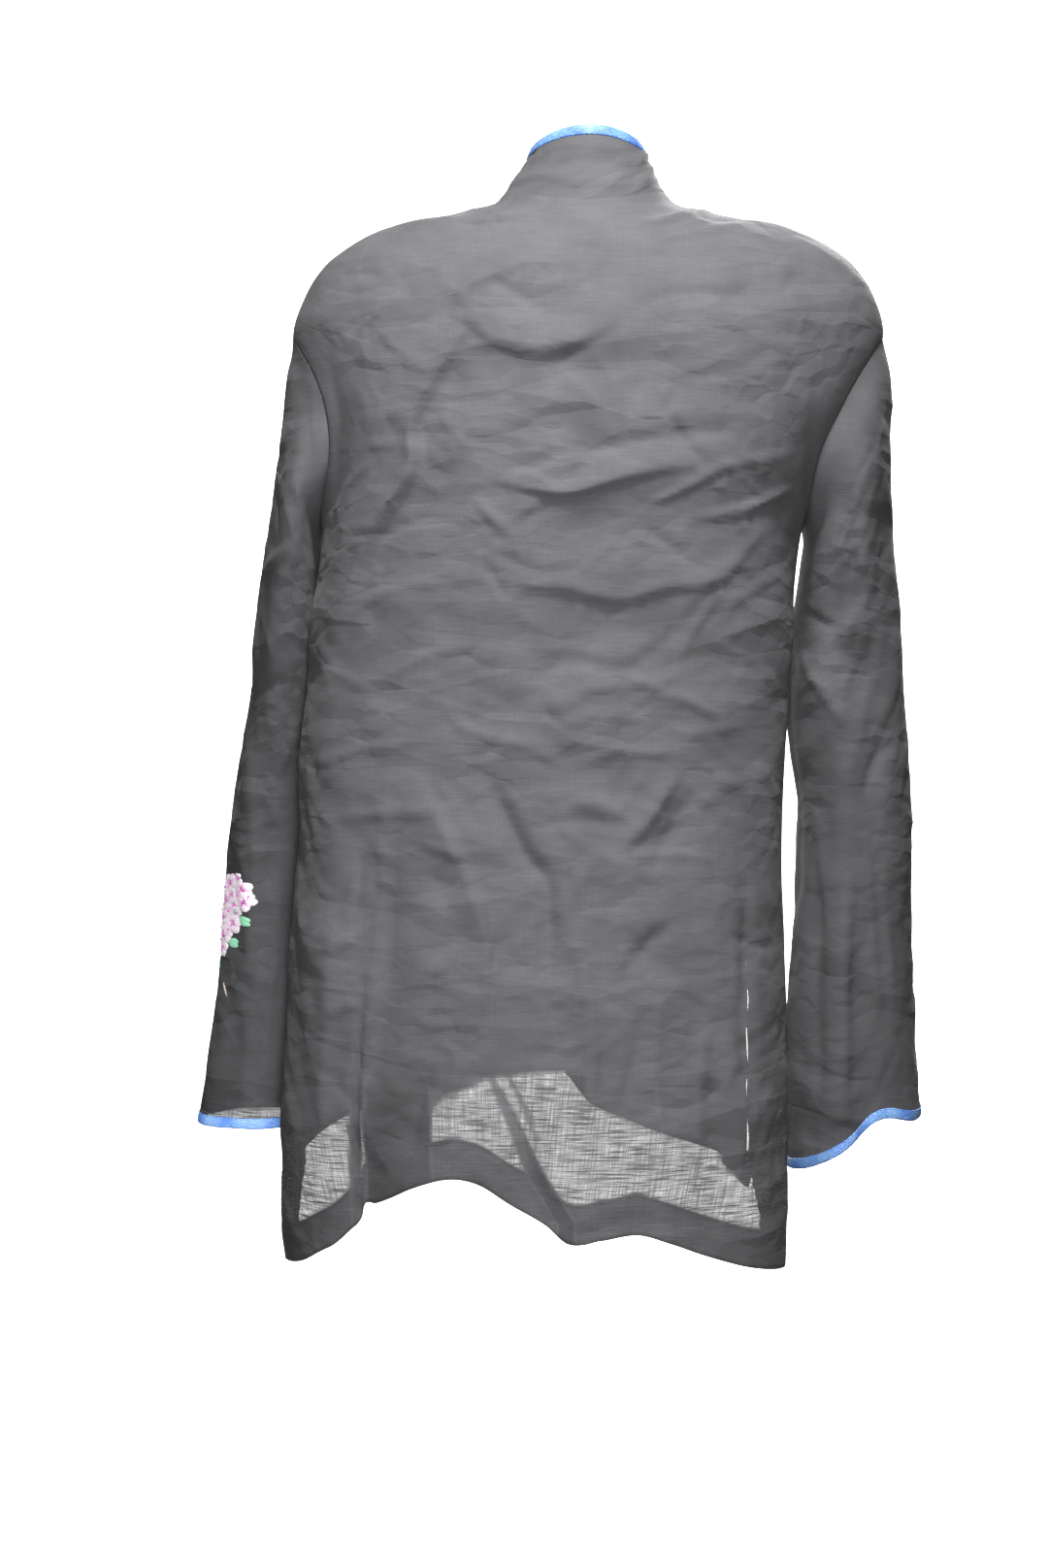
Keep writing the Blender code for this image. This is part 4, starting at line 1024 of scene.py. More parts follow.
# ---- Sleeves
# Long sleeves in the same linen, set on a dropped shoulder and slightly belled. Each is one
# piece with a seam under the arm.
# Rings from the armhole to the cuff. Columns: outer_x, outer_z, inner_x, inner_z, centre_y,
# half_depth, rise of the cuff's wave
RINGS = {
    1: np.array((
        (0.2170, -0.108, 0.1965, -0.240, 0.000, 0.062, 0.000),
        (0.2190, -0.136, 0.1985, -0.256, -0.006, 0.068, 0.000),
        (0.2235, -0.176, 0.1985, -0.276, -0.015, 0.073, 0.000),
        (0.2345, -0.232, 0.1990, -0.306, -0.028, 0.073, 0.000),
        (0.2460, -0.300, 0.2000, -0.345, -0.044, 0.068, 0.000),
        (0.2570, -0.372, 0.2020, -0.394, -0.062, 0.062, 0.000),
        (0.2710, -0.440, 0.2060, -0.450, -0.079, 0.057, 0.000),
        (0.2800, -0.516, 0.2060, -0.518, -0.091, 0.054, 0.000),
        (0.2870, -0.606, 0.2040, -0.606, -0.097, 0.055, 0.000),
        (0.3020, -0.699, 0.2040, -0.697, -0.100, 0.057, 0.000))),
    -1: np.array((
        (0.2175, -0.108, 0.1620, -0.240, 0.000, 0.062, 0.000),
        (0.2240, -0.138, 0.1630, -0.258, -0.006, 0.067, 0.000),
        (0.2260, -0.182, 0.1605, -0.281, -0.015, 0.071, 0.000),
        (0.2300, -0.243, 0.1570, -0.314, -0.027, 0.070, 0.000),
        (0.2385, -0.312, 0.1545, -0.358, -0.037, 0.065, 0.000),
        (0.2440, -0.382, 0.1585, -0.408, -0.042, 0.060, 0.000),
        (0.2470, -0.446, 0.1640, -0.456, -0.046, 0.057, 0.000),
        (0.2490, -0.520, 0.1620, -0.530, -0.051, 0.056, 0.000),
        (0.2520, -0.604, 0.1560, -0.618, -0.057, 0.057, 0.005),
        (0.2575, -0.688, 0.1560, -0.729, -0.062, 0.058, 0.017))),
}
CUFF_WAVE_TURN = 76.0
CUFF_WAVE_WIDTH = 30.0
SEAM_REACH_OUTER = 0.34
SEAM_REACH_INNER = 0.12
# Columns: start_turn, start_share, end_turn, end_share, half_turn, height in millimetres
SLEEVE_FOLDS = {
    1: ((60, 0.02, 40, 0.40, 22, -3.5), (20, 0.10, 34, 0.55, 20, 3.0),
        (80, 0.30, 60, 0.72, 22, 3.0), (30, 0.60, 66, 1.00, 22, -4.0),
        (250, 0.05, 280, 0.60, 24, -3.5), (320, 0.20, 300, 1.00, 24, 3.5),
        (240, 0.55, 230, 1.00, 22, -4.0)),
    -1: ((120, 0.10, 100, 0.36, 20, -3.0), (70, 0.05, 84, 0.40, 22, 3.0),
         (116, 0.40, 74, 0.52, 18, -3.5), (128, 0.47, 84, 0.66, 20, 3.5),
         (86, 0.64, 84, 1.00, 18, -5.0), (112, 0.64, 112, 1.00, 18, 3.5),
         (250, 0.05, 284, 0.60, 24, -3.5), (318, 0.20, 300, 1.00, 24, 3.5),
         (244, 0.60, 236, 1.00, 22, -4.0)),
}


def armhole_curve(turn, side):
    """The armhole's seam: turn 0 at its top, 90 at the back, 180 at the underarm."""
    sine, cosine = wave(turn)
    level = ARMHOLE_MIDDLE + ARMHOLE_REACH * cosine
    spread = ARMHOLE_SPREAD * sine
    angle = spread if side > 0 else 180.0 - spread
    front = torso_surface(level, np.where(spread >= 0, 180.0 if side < 0 else 0.0, angle), side)
    return np.where((spread >= 0)[..., None], torso_surface(level, angle, 0), front)


def sleeve_surface(share, turn, side):
    """Points of a sleeve: share of its length, and degrees round it, 0 outward and 90 back."""
    share, turn = np.broadcast_arrays(share, turn)
    rings = np.column_stack([np.arange(len(RINGS[side])), RINGS[side]])
    sine, cosine = wave(turn)

    def on_rings(along):
        outer_x, outer_z, inner_x, inner_z, centre_y, half_depth, rise = read_table(
            rings, along * (len(rings) - 1))
        from_wave = (turn % 360.0 - CUFF_WAVE_TURN) / CUFF_WAVE_WIDTH
        return np.stack([
            side * ((outer_x + inner_x) / 2 + (outer_x - inner_x) / 2 * cosine),
            centre_y + half_depth * sine,
            (outer_z + inner_z) / 2 + (outer_z - inner_z) / 2 * cosine
            + rise * np.exp(-from_wave ** 2)], -1)

    reach = SEAM_REACH_INNER + (SEAM_REACH_OUTER - SEAM_REACH_INNER) * (0.5 + 0.5 * cosine)
    blend = 1.0 - ease(share / reach)
    points = on_rings(share) + (armhole_curve(turn, side) - on_rings(share * 0)) * blend[..., None]
    raised = np.zeros(share.shape)
    for start_turn, start_share, end_turn, end_share, half_turn, height in SLEEVE_FOLDS[side]:
        inside = np.clip((share - start_share) / (end_share - start_share), 0, 1)
        aside = turn - start_turn - (end_turn - start_turn) * inside
        aside = (aside + 180.0) % 360.0 - 180.0
        past = (share - start_share - (end_share - start_share) * inside) / 0.06
        raised += height * np.exp(-(aside / half_turn) ** 2 - past ** 2) / 1000
    raised *= ease(share / 0.12)
    outward = np.stack([side * cosine, sine, np.zeros(share.shape)], -1)
    return points + outward * raised[..., None]


# Creases of the sleeves on the side that the photo shows, in its pixels
SLEEVE_CREASES = {
    1: (
        (1.8, 14, 10, ((289, 470), (308, 417), (322, 384))),
        (-1.1, 12, 12, ((294, 654), (299, 628), (314, 564), (321, 505), (320, 464), (316, 395))),
        (2.6, 34, 12, ((216, 1110), (235, 1061), (251, 1012), (260, 975), (264, 890), (260, 822),
                       (256, 772))),
        (1.2, 8, 8, ((262, 600), (276, 584), (300, 560))),
        (-1.2, 8, 8, ((255, 720), (276, 706), (300, 700))),
        (1.2, 10, 8, ((270, 1120), (280, 1020), (290, 900))),
        (1.0, 8, 8, ((284, 800), (300, 770), (306, 740))),
    ),
    -1: (
        (-1.0, 12, 12, ((851, 566), (847, 535), (849, 460))),
        (-1.6, 8, 9, ((817, 626), (838, 636), (862, 650))),
        (1.6, 9, 8, ((815, 662), (833, 690), (857, 725), (878, 756))),
        (3.6, 26, 11, ((868, 1170), (869, 1040), (873, 900))),
        (-1.8, 12, 12, ((846, 1150), (842, 1000), (846, 860))),
        (1.6, 14, 10, ((906, 1120), (900, 980), (892, 840))),
        (-1.4, 10, 10, ((884, 700), (880, 600), (872, 500))),
        (1.2, 10, 8, ((880, 560), (900, 600), (906, 640))),
        (-1.2, 9, 9, ((890, 820), (905, 780), (925, 760))),
        (1.2, 10, 8, ((840, 820), (846, 880), (850, 960))),
        (1.0, 8, 8, ((880, 400), (900, 420), (910, 450))),
        (1.1, 8, 8, ((905, 900), (915, 960), (920, 1040))),
        (-1.0, 8, 8, ((860, 320), (886, 330), (906, 344))),
    ),
}
SLEEVE_FACETS = ((64, 130, 12, 4.6), (40, 62, -16, 2.6), (22, 28, 20, 1.0))
SLEEVE_CRUMPLES = ((44, 90, 1.4), (28, 40, 0.6))
SLEEVE_ROWS = 180
GIRTH = 0.34                 # of the cloth, about the same all down the sleeve
sleeve_forms = {}
for name, side in (("left", 1), ("right", -1)):
    turn = np.linspace(-180.0, 180.0, 2 * ARMHOLE_STEPS + 1)[None, :-1]
    share = (np.linspace(0, 1, SLEEVE_ROWS + 1) ** 1.06)[:, None]
    base = sleeve_surface(share, turn, side)
    wrapped = np.concatenate([base[:, -1:], base, base[:, :1]], axis=1)
    outward = facing_of(wrapped, wrapped - base.mean(axis=1, keepdims=True))[:, 1:-1]
    run = arc_from_edge(base, 0)
    round_run = np.linspace(0, GIRTH, 2 * ARMHOLE_STEPS + 1)[None, :] + run[:, :1] * 0
    around = round_run[:, :-1]
    height = crease_height(*in_photo(base), SLEEVE_CREASES[side]) * ease(outward[..., 1] / 0.3)
    height *= CREASE_DEPTH
    height += crease_height(around * 1000, run * 1000, scattered_creases(
        half_width=330, top=0, bottom=620, count=160, seed=25 + side))
    height += crumple(around, run, SLEEVE_CRUMPLES, 40.0 + 9 * side)
    height += facets(around, run, SLEEVE_FACETS, 71 + 9 * side)
    height *= (0.3 + 0.7 * ease((run - 0.005) / 0.08)) * ease(run / 0.014)
    points = base + outward * height[..., None]
    level = np.concatenate([points[..., 2], points[:, :1, 2]], axis=1)
    uv = np.stack([round_run * side, 1.03 * level], -1)
    sleeve_forms[name] = (points, outward, run)
    near_cuff = ease((share - 0.975) / 0.01) * ease(outward[..., 1] / 0.3) * (side > 0)
    # Closeness rises above 1 down the sleeve, which darkens its colour towards the cuff as painted
    # shade
    closed = (0.94 + 0.22 * ease((share - 0.1) / 0.8)) * (1 - near_cuff)
    sleeve = add_sheet("sleeve_%s_linen" % name, [(points, uv, closed)], CLOTH, linen,
                       closed=True, armholes=points[0])
    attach(sleeve, "root")
    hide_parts("sleeve_" + name)


# ---- Collar stand
# A stand of two layers of the linen, sewn into the neck seam and open at centre front. Its top
# edge is smaller than the neck seam and slopes down towards the front.
COLLAR_TOP_WIDTH = 0.0420
COLLAR_TOP_SHIFT = -0.0015
COLLAR_TOP_BACK = 0.0420
COLLAR_TOP_FRONT = 0.0520
COLLAR_TOP_SIDE_LEVEL = 0.033
COLLAR_TOP_BACK_LEVEL = 0.040
COLLAR_TOP_FRONT_LEVEL = -0.012
COLLAR_HOLLOW = 0.0014       # how far the stand curves in half way up
COLLAR_FRONT_GAP = 3.0
COLLAR_LAYERS = 0.0009       # from the outer to the inner layer
COLLAR_ROWS = 18
COLLAR_COLUMNS = 240
# Columns as for the back's creases
COLLAR_CREASES = (
    (2.2, 12, 6, ((508, 210), (526, 192), (552, 182), (590, 184))),
    (-2.0, 6, 7, ((534, 212), (548, 202), (566, 196))),
    (-1.5, 5, 6, ((556, 214), (570, 206), (590, 203))),
    (1.6, 14, 8, ((566, 192), (604, 186), (650, 190))),
    (-1.4, 8, 10, ((556, 170), (600, 164), (652, 170))),
    (2.4, 12, 6, ((628, 206), (652, 197), (668, 182), (676, 160))),
    (-2.0, 7, 7, ((644, 208), (668, 200), (684, 186))),
    (1.5, 8, 7, ((560, 156), (606, 148), (650, 158))),
    (-1.4, 6, 6, ((540, 176), (548, 160), (552, 146))),
    (1.6, 7, 6, ((654, 176), (664, 160), (662, 146))),
)


def collar_surface(share, angle):
    """Points of the stand's outer face, from the neck seam (0) to its top edge (1)."""
    share, angle = np.broadcast_arrays(share, angle)
    sine, cosine = wave(angle)
    behind = sine >= 0
    base = np.where(behind[..., None], torso_surface(0.0 * share, np.where(behind, angle, 90), 0),
                    torso_surface(0.0 * share, np.where(behind, -90, angle), 1))
    end_level = np.where(behind, COLLAR_TOP_BACK_LEVEL, COLLAR_TOP_FRONT_LEVEL)
    level = COLLAR_TOP_SIDE_LEVEL + (end_level - COLLAR_TOP_SIDE_LEVEL) * sine * sine
    top = np.stack([COLLAR_TOP_SHIFT + COLLAR_TOP_WIDTH * cosine,
                    np.where(behind, COLLAR_TOP_BACK, COLLAR_TOP_FRONT) * sine, level], -1)
    bulge = COLLAR_HOLLOW * np.sin(np.pi * np.clip(share, 0, 1)) * -1
    return (base + (top - base) * share[..., None]
            + np.stack([cosine, sine, 0 * sine], -1) * bulge[..., None])


COLLAR_CRUMPLES = ((30, 16, 0.9), (14, 10, 0.4))
angle = np.linspace(-90 + COLLAR_FRONT_GAP, 270 - COLLAR_FRONT_GAP, COLLAR_COLUMNS + 1)[None, :]
share = np.linspace(-0.06, 1.0, COLLAR_ROWS + 1)[:, None]
base = collar_surface(share, angle)
outward = facing_of(base, base - base.mean(axis=1, keepdims=True))
run = arc_from_edge(base, 1)
rise = 0.05 * share + 0 * run
height = crease_height(*in_photo(base), COLLAR_CREASES) * ease(outward[..., 1] / 0.3)
height += crumple(run, rise, COLLAR_CRUMPLES, 70.0)
height *= ease(share / 0.25) * ease((1 - share) / 0.25 + 0.1)
collar_points = base + outward * height[..., None]
inner = (collar_points - outward * COLLAR_LAYERS)[::-1]
uv = np.stack([run, rise], -1)
collar = add_sheet("collar_linen", [(np.concatenate([collar_points, inner])[::-1],
                                     np.concatenate([uv, -uv[::-1]])[::-1], 0.94)], CLOTH, linen)
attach(collar, "root")
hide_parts("collar_stand")


# ---- Bindings
# Folded strips of bright blue satin, one over the collar's top edge and one over each cuff.
# Each is stitched down close to its lower edge and puckers a little between the stitches.
BINDING_WIDTH = 0.0070
BINDING_RISE = 0.0011        # of the fold above the edge that it covers
BINDING_PUCKER = 0.00022
BINDING_CLOTH = 0.0003
BINDING_ROOM = 0.0007        # between the wall and the strip's middle, on each side
FLOAT_WIDTH, FLOAT_LENGTH, BIAS = 0.35, 4.0, 38    # mm and degrees, of the satin's floats
# Half of the fold's section. Columns: height above the edge, offset from the middle of the wall
# as a share of what the strip has on each side
BINDING_PROFILE = ((-BINDING_WIDTH, 0.62), (-0.0063, 0.92), (-0.0050, 1.12), (-0.0030, 1.2),
                   (-0.0010, 1.15), (0.0002, 1.0), (BINDING_RISE * 0.75, 0.65),
                   (BINDING_RISE, 0.0))
# Polyester satin, cut on the bias: long floats give it a soft streaky gloss along the strip.
# Its colour is also painted paler in streaks along the floats and in soft patches, as painted
# highlight
satin = bpy.data.materials.new("polyester_satin")
tree = new_tree(satin)
satin_uv = add_node(tree, "UVMap", uv_map="cloth")
floats = add_node(tree, "Mapping", {
    "Vector": satin_uv, "Rotation": (0, 0, math.radians(BIAS)),
    "Scale": (1000 / FLOAT_LENGTH, 1000 / FLOAT_WIDTH, 1.0)})
streak = add_node(tree, "TexNoise", {"Vector": floats, "Scale": 1.0, "Detail": 1.0},
                  noise_dimensions="2D")
patch = add_node(tree, "TexNoise", {"Vector": satin_uv, "Scale": 60.0}, noise_dimensions="2D")
shade = add_node(tree, "Math", {0: streak, 1: patch}, operation="ADD")
# The paler colour in the streaks and patches is painted highlight
painted_highlight_streaks = add_node(tree, "MapRange", {"Value": shade, "From Min": 0.7, "From Max": 1.3})
satin_colour_with_painted_highlight = add_node(tree, "Mix", {0: painted_highlight_streaks, 6: linear("#4c80e8"), 7: linear("#9ccafc")},
                        data_type="RGBA")
satin_bump = add_node(tree, "Bump", {"Height": streak, "Strength": 0.25, "Distance": 0.0001})
satin_surface = add_node(tree, "BsdfPrincipled", {
    "Base Color": satin_colour_with_painted_highlight.outputs[2], "Roughness": 0.48, "Normal": satin_bump,
    "Specular IOR Level": 0.7, "Sheen Weight": 0.25, "Sheen Roughness": 0.3,
    "Sheen Tint": linear("#9ad0ff")})
add_node(tree, "OutputMaterial", {"Surface": satin_surface})


def folded_strip(edge, inside, layers, closed, seed):
    """A strip folded over an edge, as a grid. Edge and inside are the wall's last two rows."""
    away = unit(edge - inside)
    if closed:
        along = np.roll(edge, -1, axis=0) - np.roll(edge, 1, axis=0)
    else:
        along = np.gradient(edge, axis=0)
    outward = unit(np.cross(along, away))
    outward *= np.sign((outward * (edge - edge.mean(axis=0))).sum())
    step = np.linalg.norm(np.diff(edge, axis=0, append=edge[:1]), axis=-1)
    run, whole = running(step[:-1]), step.sum()
    turn = 2 * np.pi * run / whole
    at = (60 * np.cos(turn), 60 * np.sin(turn)) if closed else (420 * run, 0 * run)
    half = layers / 2 + BINDING_ROOM
    profile = list(BINDING_PROFILE) + [(h, -o) for h, o in BINDING_PROFILE[-2::-1]]
    rows = []
    for number, (h, o) in enumerate(profile):
        ripple = BINDING_PUCKER * smooth_noise(*at, seed + 0.25 * number)
        rows.append(edge + away * (h + ripple * (abs(o) < 0.7))[:, None]
                    + outward * (o * half - layers / 2
                                 + np.sign(o) * ripple * (abs(o) > 0.7))[:, None])
    wide = np.linspace(0, 2 * BINDING_WIDTH + 0.003, len(profile))
    if closed:
        run = np.append(run, whole)
    return np.array(rows), np.stack(np.broadcast_arrays(run[None, :], wide[:, None]), -1), outward


# Columns: name, the wall that is bound, thickness of its layers, whether it goes all round
BOUND_WALLS = (("collar_binding", collar_points, COLLAR_LAYERS, False),
               ("cuff_binding_left", sleeve_forms["left"][0], CLOTH, True),
               ("cuff_binding_right", sleeve_forms["right"][0], CLOTH, True))
binding_lines = []
for number, (name, wall, layers, closed) in enumerate(BOUND_WALLS):
    grid, uv, away = folded_strip(wall[-1], wall[-2], layers, closed, 3.0 * number)
    binding_lines.append([np.concatenate([line, line[:closed]]) for line in (grid[1], away)])
    if name == "cuff_binding_left":
        grid, uv = grid[::-1], uv[::-1]
    strip = add_sheet(name.replace("binding", "satin"), [(grid, uv, 1.0)], BINDING_CLOTH, satin,
                      closed)
    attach(strip, "root")
    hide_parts(name)
    length = float(uv[0, -1, 0])


# ---- Sleeve embroidery
# Blossoms, leaves and twigs in padded satin stitch, worked in rayon thread on the outer side of
# the left sleeve. They go on round to its front. Each petal and leaf is a raised, closed pad.
sleeve_points, sleeve_outward, sleeve_run = sleeve_forms["left"]
ring_step = np.linalg.norm(np.roll(sleeve_points, -1, axis=1) - sleeve_points, axis=-1)
round_run = np.cumsum(ring_step, axis=1) - ring_step
round_run -= round_run[:, ARMHOLE_STEPS:ARMHOLE_STEPS + 1]
sleeve_down = sleeve_run[:, ARMHOLE_STEPS]


def on_sleeve(across, down):
    """Places and normals on the sleeve, in metres round from its outer line and down it."""
    rows = np.interp(down, sleeve_down, np.arange(len(sleeve_down)))
    low = np.minimum(rows.astype(int), len(sleeve_down) - 2)
    share = (rows - low)[:, None]
    ends = []
    for row in (low, low + 1):
        columns = np.array([np.interp(a, round_run[r], np.arange(round_run.shape[1]))
                            for a, r in zip(across, row)])
        left = np.minimum(columns.astype(int), round_run.shape[1] - 2)
        part = (columns - left)[:, None]
        ends.append([table[row, left] * (1 - part) + table[row, left + 1] * part
                     for table in (sleeve_points, sleeve_outward)])
    return [ends[0][k] * (1 - share) + ends[1][k] * share for k in range(2)]


def place_seen(across_pixel, down_pixel):
    """The place on the sleeve that the photo shows at a pixel."""
    seen_x, seen_y = in_photo(sleeve_points)
    far = np.hypot(seen_x - across_pixel, seen_y - down_pixel)
    far = far + 1000.0 * (sleeve_outward[..., 1] < 0.04)
    row, column = np.unravel_index(np.argmin(far), far.shape)
    return round_run[row, column], sleeve_down[row]


def widening(across_pixel, down_pixel):
    """How far a motif is stretched round the sleeve, where the sleeve turns away in the photo."""
    left, right = (place_seen(across_pixel + step, down_pixel)[0] for step in (-5, 5))
    return max(abs(right - left) / (10 / PHOTO_FOCAL * CAMERA.y), 1.0)


# Rayon embroidery threads, laid side by side: glossy, with fine ridges along each stitch.
# Columns: name, colour at the base, colour at the tip, colour of the edges
THREADS = (
    ("rayon_thread_pink", "#d968c4", "#fdf0f9", "#e58ad2"),
    ("rayon_thread_mint", "#52bd8c", "#93dfb6", "#3a9a72"),
    ("rayon_thread_taupe", "#a08c84", "#cdbfb6", "#8a776f"),
    ("rayon_thread_plum", "#a238a8", "#d65fc4", "#7a2f86"),
)
RAYON_WIDTH = 0.4            # mm
thread_materials = []
for name, base_colour, tip_colour, edge_colour in THREADS:
    material = bpy.data.materials.new(name)
    tree = new_tree(material)
    pad_uv = add_node(tree, "UVMap", uv_map="pad")
    parts = add_node(tree, "SeparateXYZ", {"Vector": pad_uv})
    laid = add_node(tree, "Mapping", {"Vector": pad_uv, "Scale": (1.6, 6.0 / RAYON_WIDTH, 1.0)})
    lines = add_node(tree, "TexNoise", {"Vector": laid, "Scale": 1.0, "Detail": 1.0},
                     noise_dimensions="2D")
    along = add_node(tree, "Math", {0: lines, 1: parts.outputs["X"]}, operation="ADD")
    along = add_node(tree, "MapRange", {"Value": along, "From Min": 0.50, "From Max": 0.95})
    aside = add_node(tree, "Math", {0: parts.outputs["Y"], 1: 0.5}, operation="SUBTRACT")
    aside = add_node(tree, "Math", {0: aside}, operation="ABSOLUTE")
    rim = add_node(tree, "MapRange", {"Value": aside, "From Min": 0.40, "From Max": 0.50,
                                      "To Max": 0.8})
    body = add_node(tree, "Mix", {0: along, 6: linear(base_colour), 7: linear(tip_colour)},
                    data_type="RGBA")
    edged = add_node(tree, "Mix", {0: rim, 6: body.outputs[2], 7: linear(edge_colour)},
                     data_type="RGBA")
    ridges = add_node(tree, "Bump", {"Height": lines, "Strength": 0.5, "Distance": 0.0002})
    glossy = add_node(tree, "BsdfPrincipled", {
        "Base Color": edged.outputs[2], "Roughness": 0.42, "Normal": ridges,
        "Sheen Weight": 0.7, "Sheen Roughness": 0.35, "Sheen Tint": linear("#fff4fb")})
    add_node(tree, "OutputMaterial", {"Surface": glossy})
    thread_materials.append(material)

PINK, MINT, TAUPE, PLUM = range(4)
PAD_ROWS, PAD_COLUMNS = 9, 7
pads = []


def add_pad(place, turn, length, width, height, thread, blunt, centre=0.0, widen=1.0):
    """One padded stitch area. It starts at its place and points along its turn, in degrees.

    It is widest nearer its start where blunt is below 1, and nearer its tip above 1. It may be
    widened round the sleeve, away from a centre line.
    """
    along = (1 - np.cos(np.linspace(0, np.pi, PAD_ROWS)))[:, None] / 2
    aside = np.linspace(-1, 1, PAD_COLUMNS)[None, :]
    half = width / 2 * np.sin(np.pi * along ** blunt) ** 0.62
    lift = height * np.sin(np.pi * along) ** 0.5 * np.sqrt(np.clip(1 - aside ** 2, 0, 1))
    a, b = along * length + 0 * aside, half * aside
    sine, cosine = wave(turn)
    across = centre + (place[0] - centre + a * cosine - b * sine) * widen
    down = place[1] + a * sine + b * cosine
    points, normals = on_sleeve(across.ravel(), down.ravel())
    points = points + normals * (lift.ravel() - 0.0001)[:, None]
    pads.append((points.tolist(), *np.broadcast_arrays(along, aside / 2 + 0.5), thread))


def add_blossom(place, size, turn, widen=1.0):
    """Five round petals about a small knot."""
    for number in range(5):
        heading = turn + 72 * number + 9 * math.sin(7 * number + turn)
        sine, cosine = wave(heading)
        add_pad((place[0] + 0.0010 * cosine, place[1] + 0.0010 * sine), heading, size * 0.50,
                size * 0.60, 0.0009, PINK, 0.85, place[0], widen)
    add_pad((place[0] - 0.0013, place[1]), 0, 0.0026, 0.0026, 0.0018, PLUM, 1.0, place[0], widen)


def add_leaf(place, length, turn, widen=1.0):
    """Two halves in satin stitch that meet at a midrib."""
    for half in (-8, 8):
        add_pad(place, turn + half, length, length * 0.40 * widen ** 0.7, 0.0009, MINT, 0.9,
                place[0], widen)


# What the photo shows, in its pixels. Columns: across, down, size in mm, turn in degrees
BLOSSOMS_SEEN = ((237, 911, 15, 10), (248, 917, 16, 40), (233, 928, 15, 75), (251, 931, 15, 5),
                 (241, 936, 14, 30), (240, 950, 16, 50), (232, 961, 16, 20), (229, 977, 15, 60),
                 (246, 904, 8, 20), (257, 926, 9, 0), (231, 945, 14, 40), (238, 923, 11, 0),
                 (230, 916, 15, 25), (229, 936, 15, 60), (227, 953, 15, 10), (225, 968, 15, 45),
                 (236, 941, 13, 15), (245, 925, 12, 50), (236, 955, 12, 65), (243, 943, 10, 0))
LEAVES_SEEN = ((245, 949, 14, 10), (235, 969, 13, 4), (224, 984, 12, 50), (237, 940, 12, -8))
# The rest of the spray, on the outer side and the front. Columns: millimetres round the sleeve
# from its outer line, millimetres below the top blossom, size in mm, turn in degrees
BLOSSOMS_HIDDEN = ((-12, 6, 17, 20), (-26, -8, 17, 55), (-12, 24, 16, 5), (-30, 12, 18, 35),
                   (-24, 34, 16, 70), (-46, 0, 16, 15), (-42, 26, 17, 50), (-58, 14, 15, 0),
                   (-12, 44, 16, 25), (-34, -24, 13, 45), (-68, 32, 12, 60), (-38, 46, 13, 10),
                   (-52, 38, 12, 30), (-14, 60, 12, 0), (-16, -20, 11, 30))
LEAVES_HIDDEN = ((-34, -14, 19, -110), (-54, -8, 18, -150), (-66, 22, 18, 170), (-48, 44, 18, 130),
                 (-26, 52, 19, 100), (-8, 68, 16, 70), (-4, -14, 16, -70), (-72, 6, 15, -160),
                 (-36, 62, 15, 140), (-22, -34, 16, -80))
for motifs, add, widest in ((LEAVES_SEEN, add_leaf, 1.4), (BLOSSOMS_SEEN, add_blossom, 1.8)):
    for across, down, size, turn in motifs:
        add(place_seen(across, down), size / 1000, turn, min(widening(across, down), widest))
top_down = place_seen(236, 912)[1]
for motifs, add in ((BLOSSOMS_HIDDEN, add_blossom), (LEAVES_HIDDEN, add_leaf)):
    for across, down, size, turn in motifs:
        add((across / 1000, top_down + down / 1000), size / 1000, turn)
# Twigs. Columns: start across and down as above, turn, length and width in mm
TWIGS = ((-46, 96, -62, 34, 1.6), (-32, 68, -40, 26, 1.4), (-34, 62, -110, 30, 1.3),
         (-50, 40, -150, 24, 1.1), (-22, -10, -80, 26, 1.2), (-14, 92, -30, 22, 1.6),
         (-52, 100, -20, 20, 1.3))
for across, down, turn, length, width in TWIGS:
    add_pad((across / 1000, top_down + down / 1000), turn, length / 1000, width / 1000, 0.0006,
            TAUPE, 0.9)
add_pad(place_seen(234, 1029), -128, 0.016, 0.0034, 0.0007, TAUPE, 1.3)


def face_outward(thing, join=None):
    """Join points of an object that all but touch, and turn all its faces outward."""
    bpy.ops.object.select_all(action="DESELECT")
    thing.select_set(True)
    bpy.context.view_layer.objects.active = thing
    bpy.ops.object.mode_set(mode="EDIT")
    bpy.ops.mesh.select_all(action="SELECT")
    if join:
        bpy.ops.mesh.remove_doubles(threshold=join)
        bpy.ops.mesh.dissolve_degenerate(threshold=join / 2)
    bpy.ops.mesh.normals_make_consistent(inside=False)
    bpy.ops.object.mode_set(mode="OBJECT")


# The faces of one pad, by row and column: its top in squares, and its underside
pad_faces = [[(i, j), (i + 1, j), (i + 1, j + 1), (i, j + 1)]
             for i in range(PAD_ROWS - 1) for j in range(PAD_COLUMNS - 1)]
pad_faces.append([(i, PAD_COLUMNS - 1) for i in range(PAD_ROWS)]
                 + [(i, 0) for i in range(PAD_ROWS - 1, -1, -1)])
vertices, faces, corners, threads = [], [], [], []
for points, along, aside, thread in pads:
    for face in pad_faces:
        faces.append([len(vertices) + i * PAD_COLUMNS + j for i, j in face])
        corners.extend((along[place], aside[place]) for place in face)
        threads.append(thread)
    vertices.extend(points)
embroidery = bpy.data.meshes.new("sleeve_embroidery")
embroidery.from_pydata(vertices, [], faces)
layer = embroidery.uv_layers.new(name="pad")
layer.uv.foreach_set("vector", np.array(corners, dtype=np.float32).ravel())
for material in thread_materials:
    embroidery.materials.append(material)
embroidery.polygons.foreach_set("material_index", threads)
spray = add_object("sleeve_embroidery", embroidery)
face_outward(spray, join=0.00002)
embroidery.shade_smooth()
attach(spray, "root")

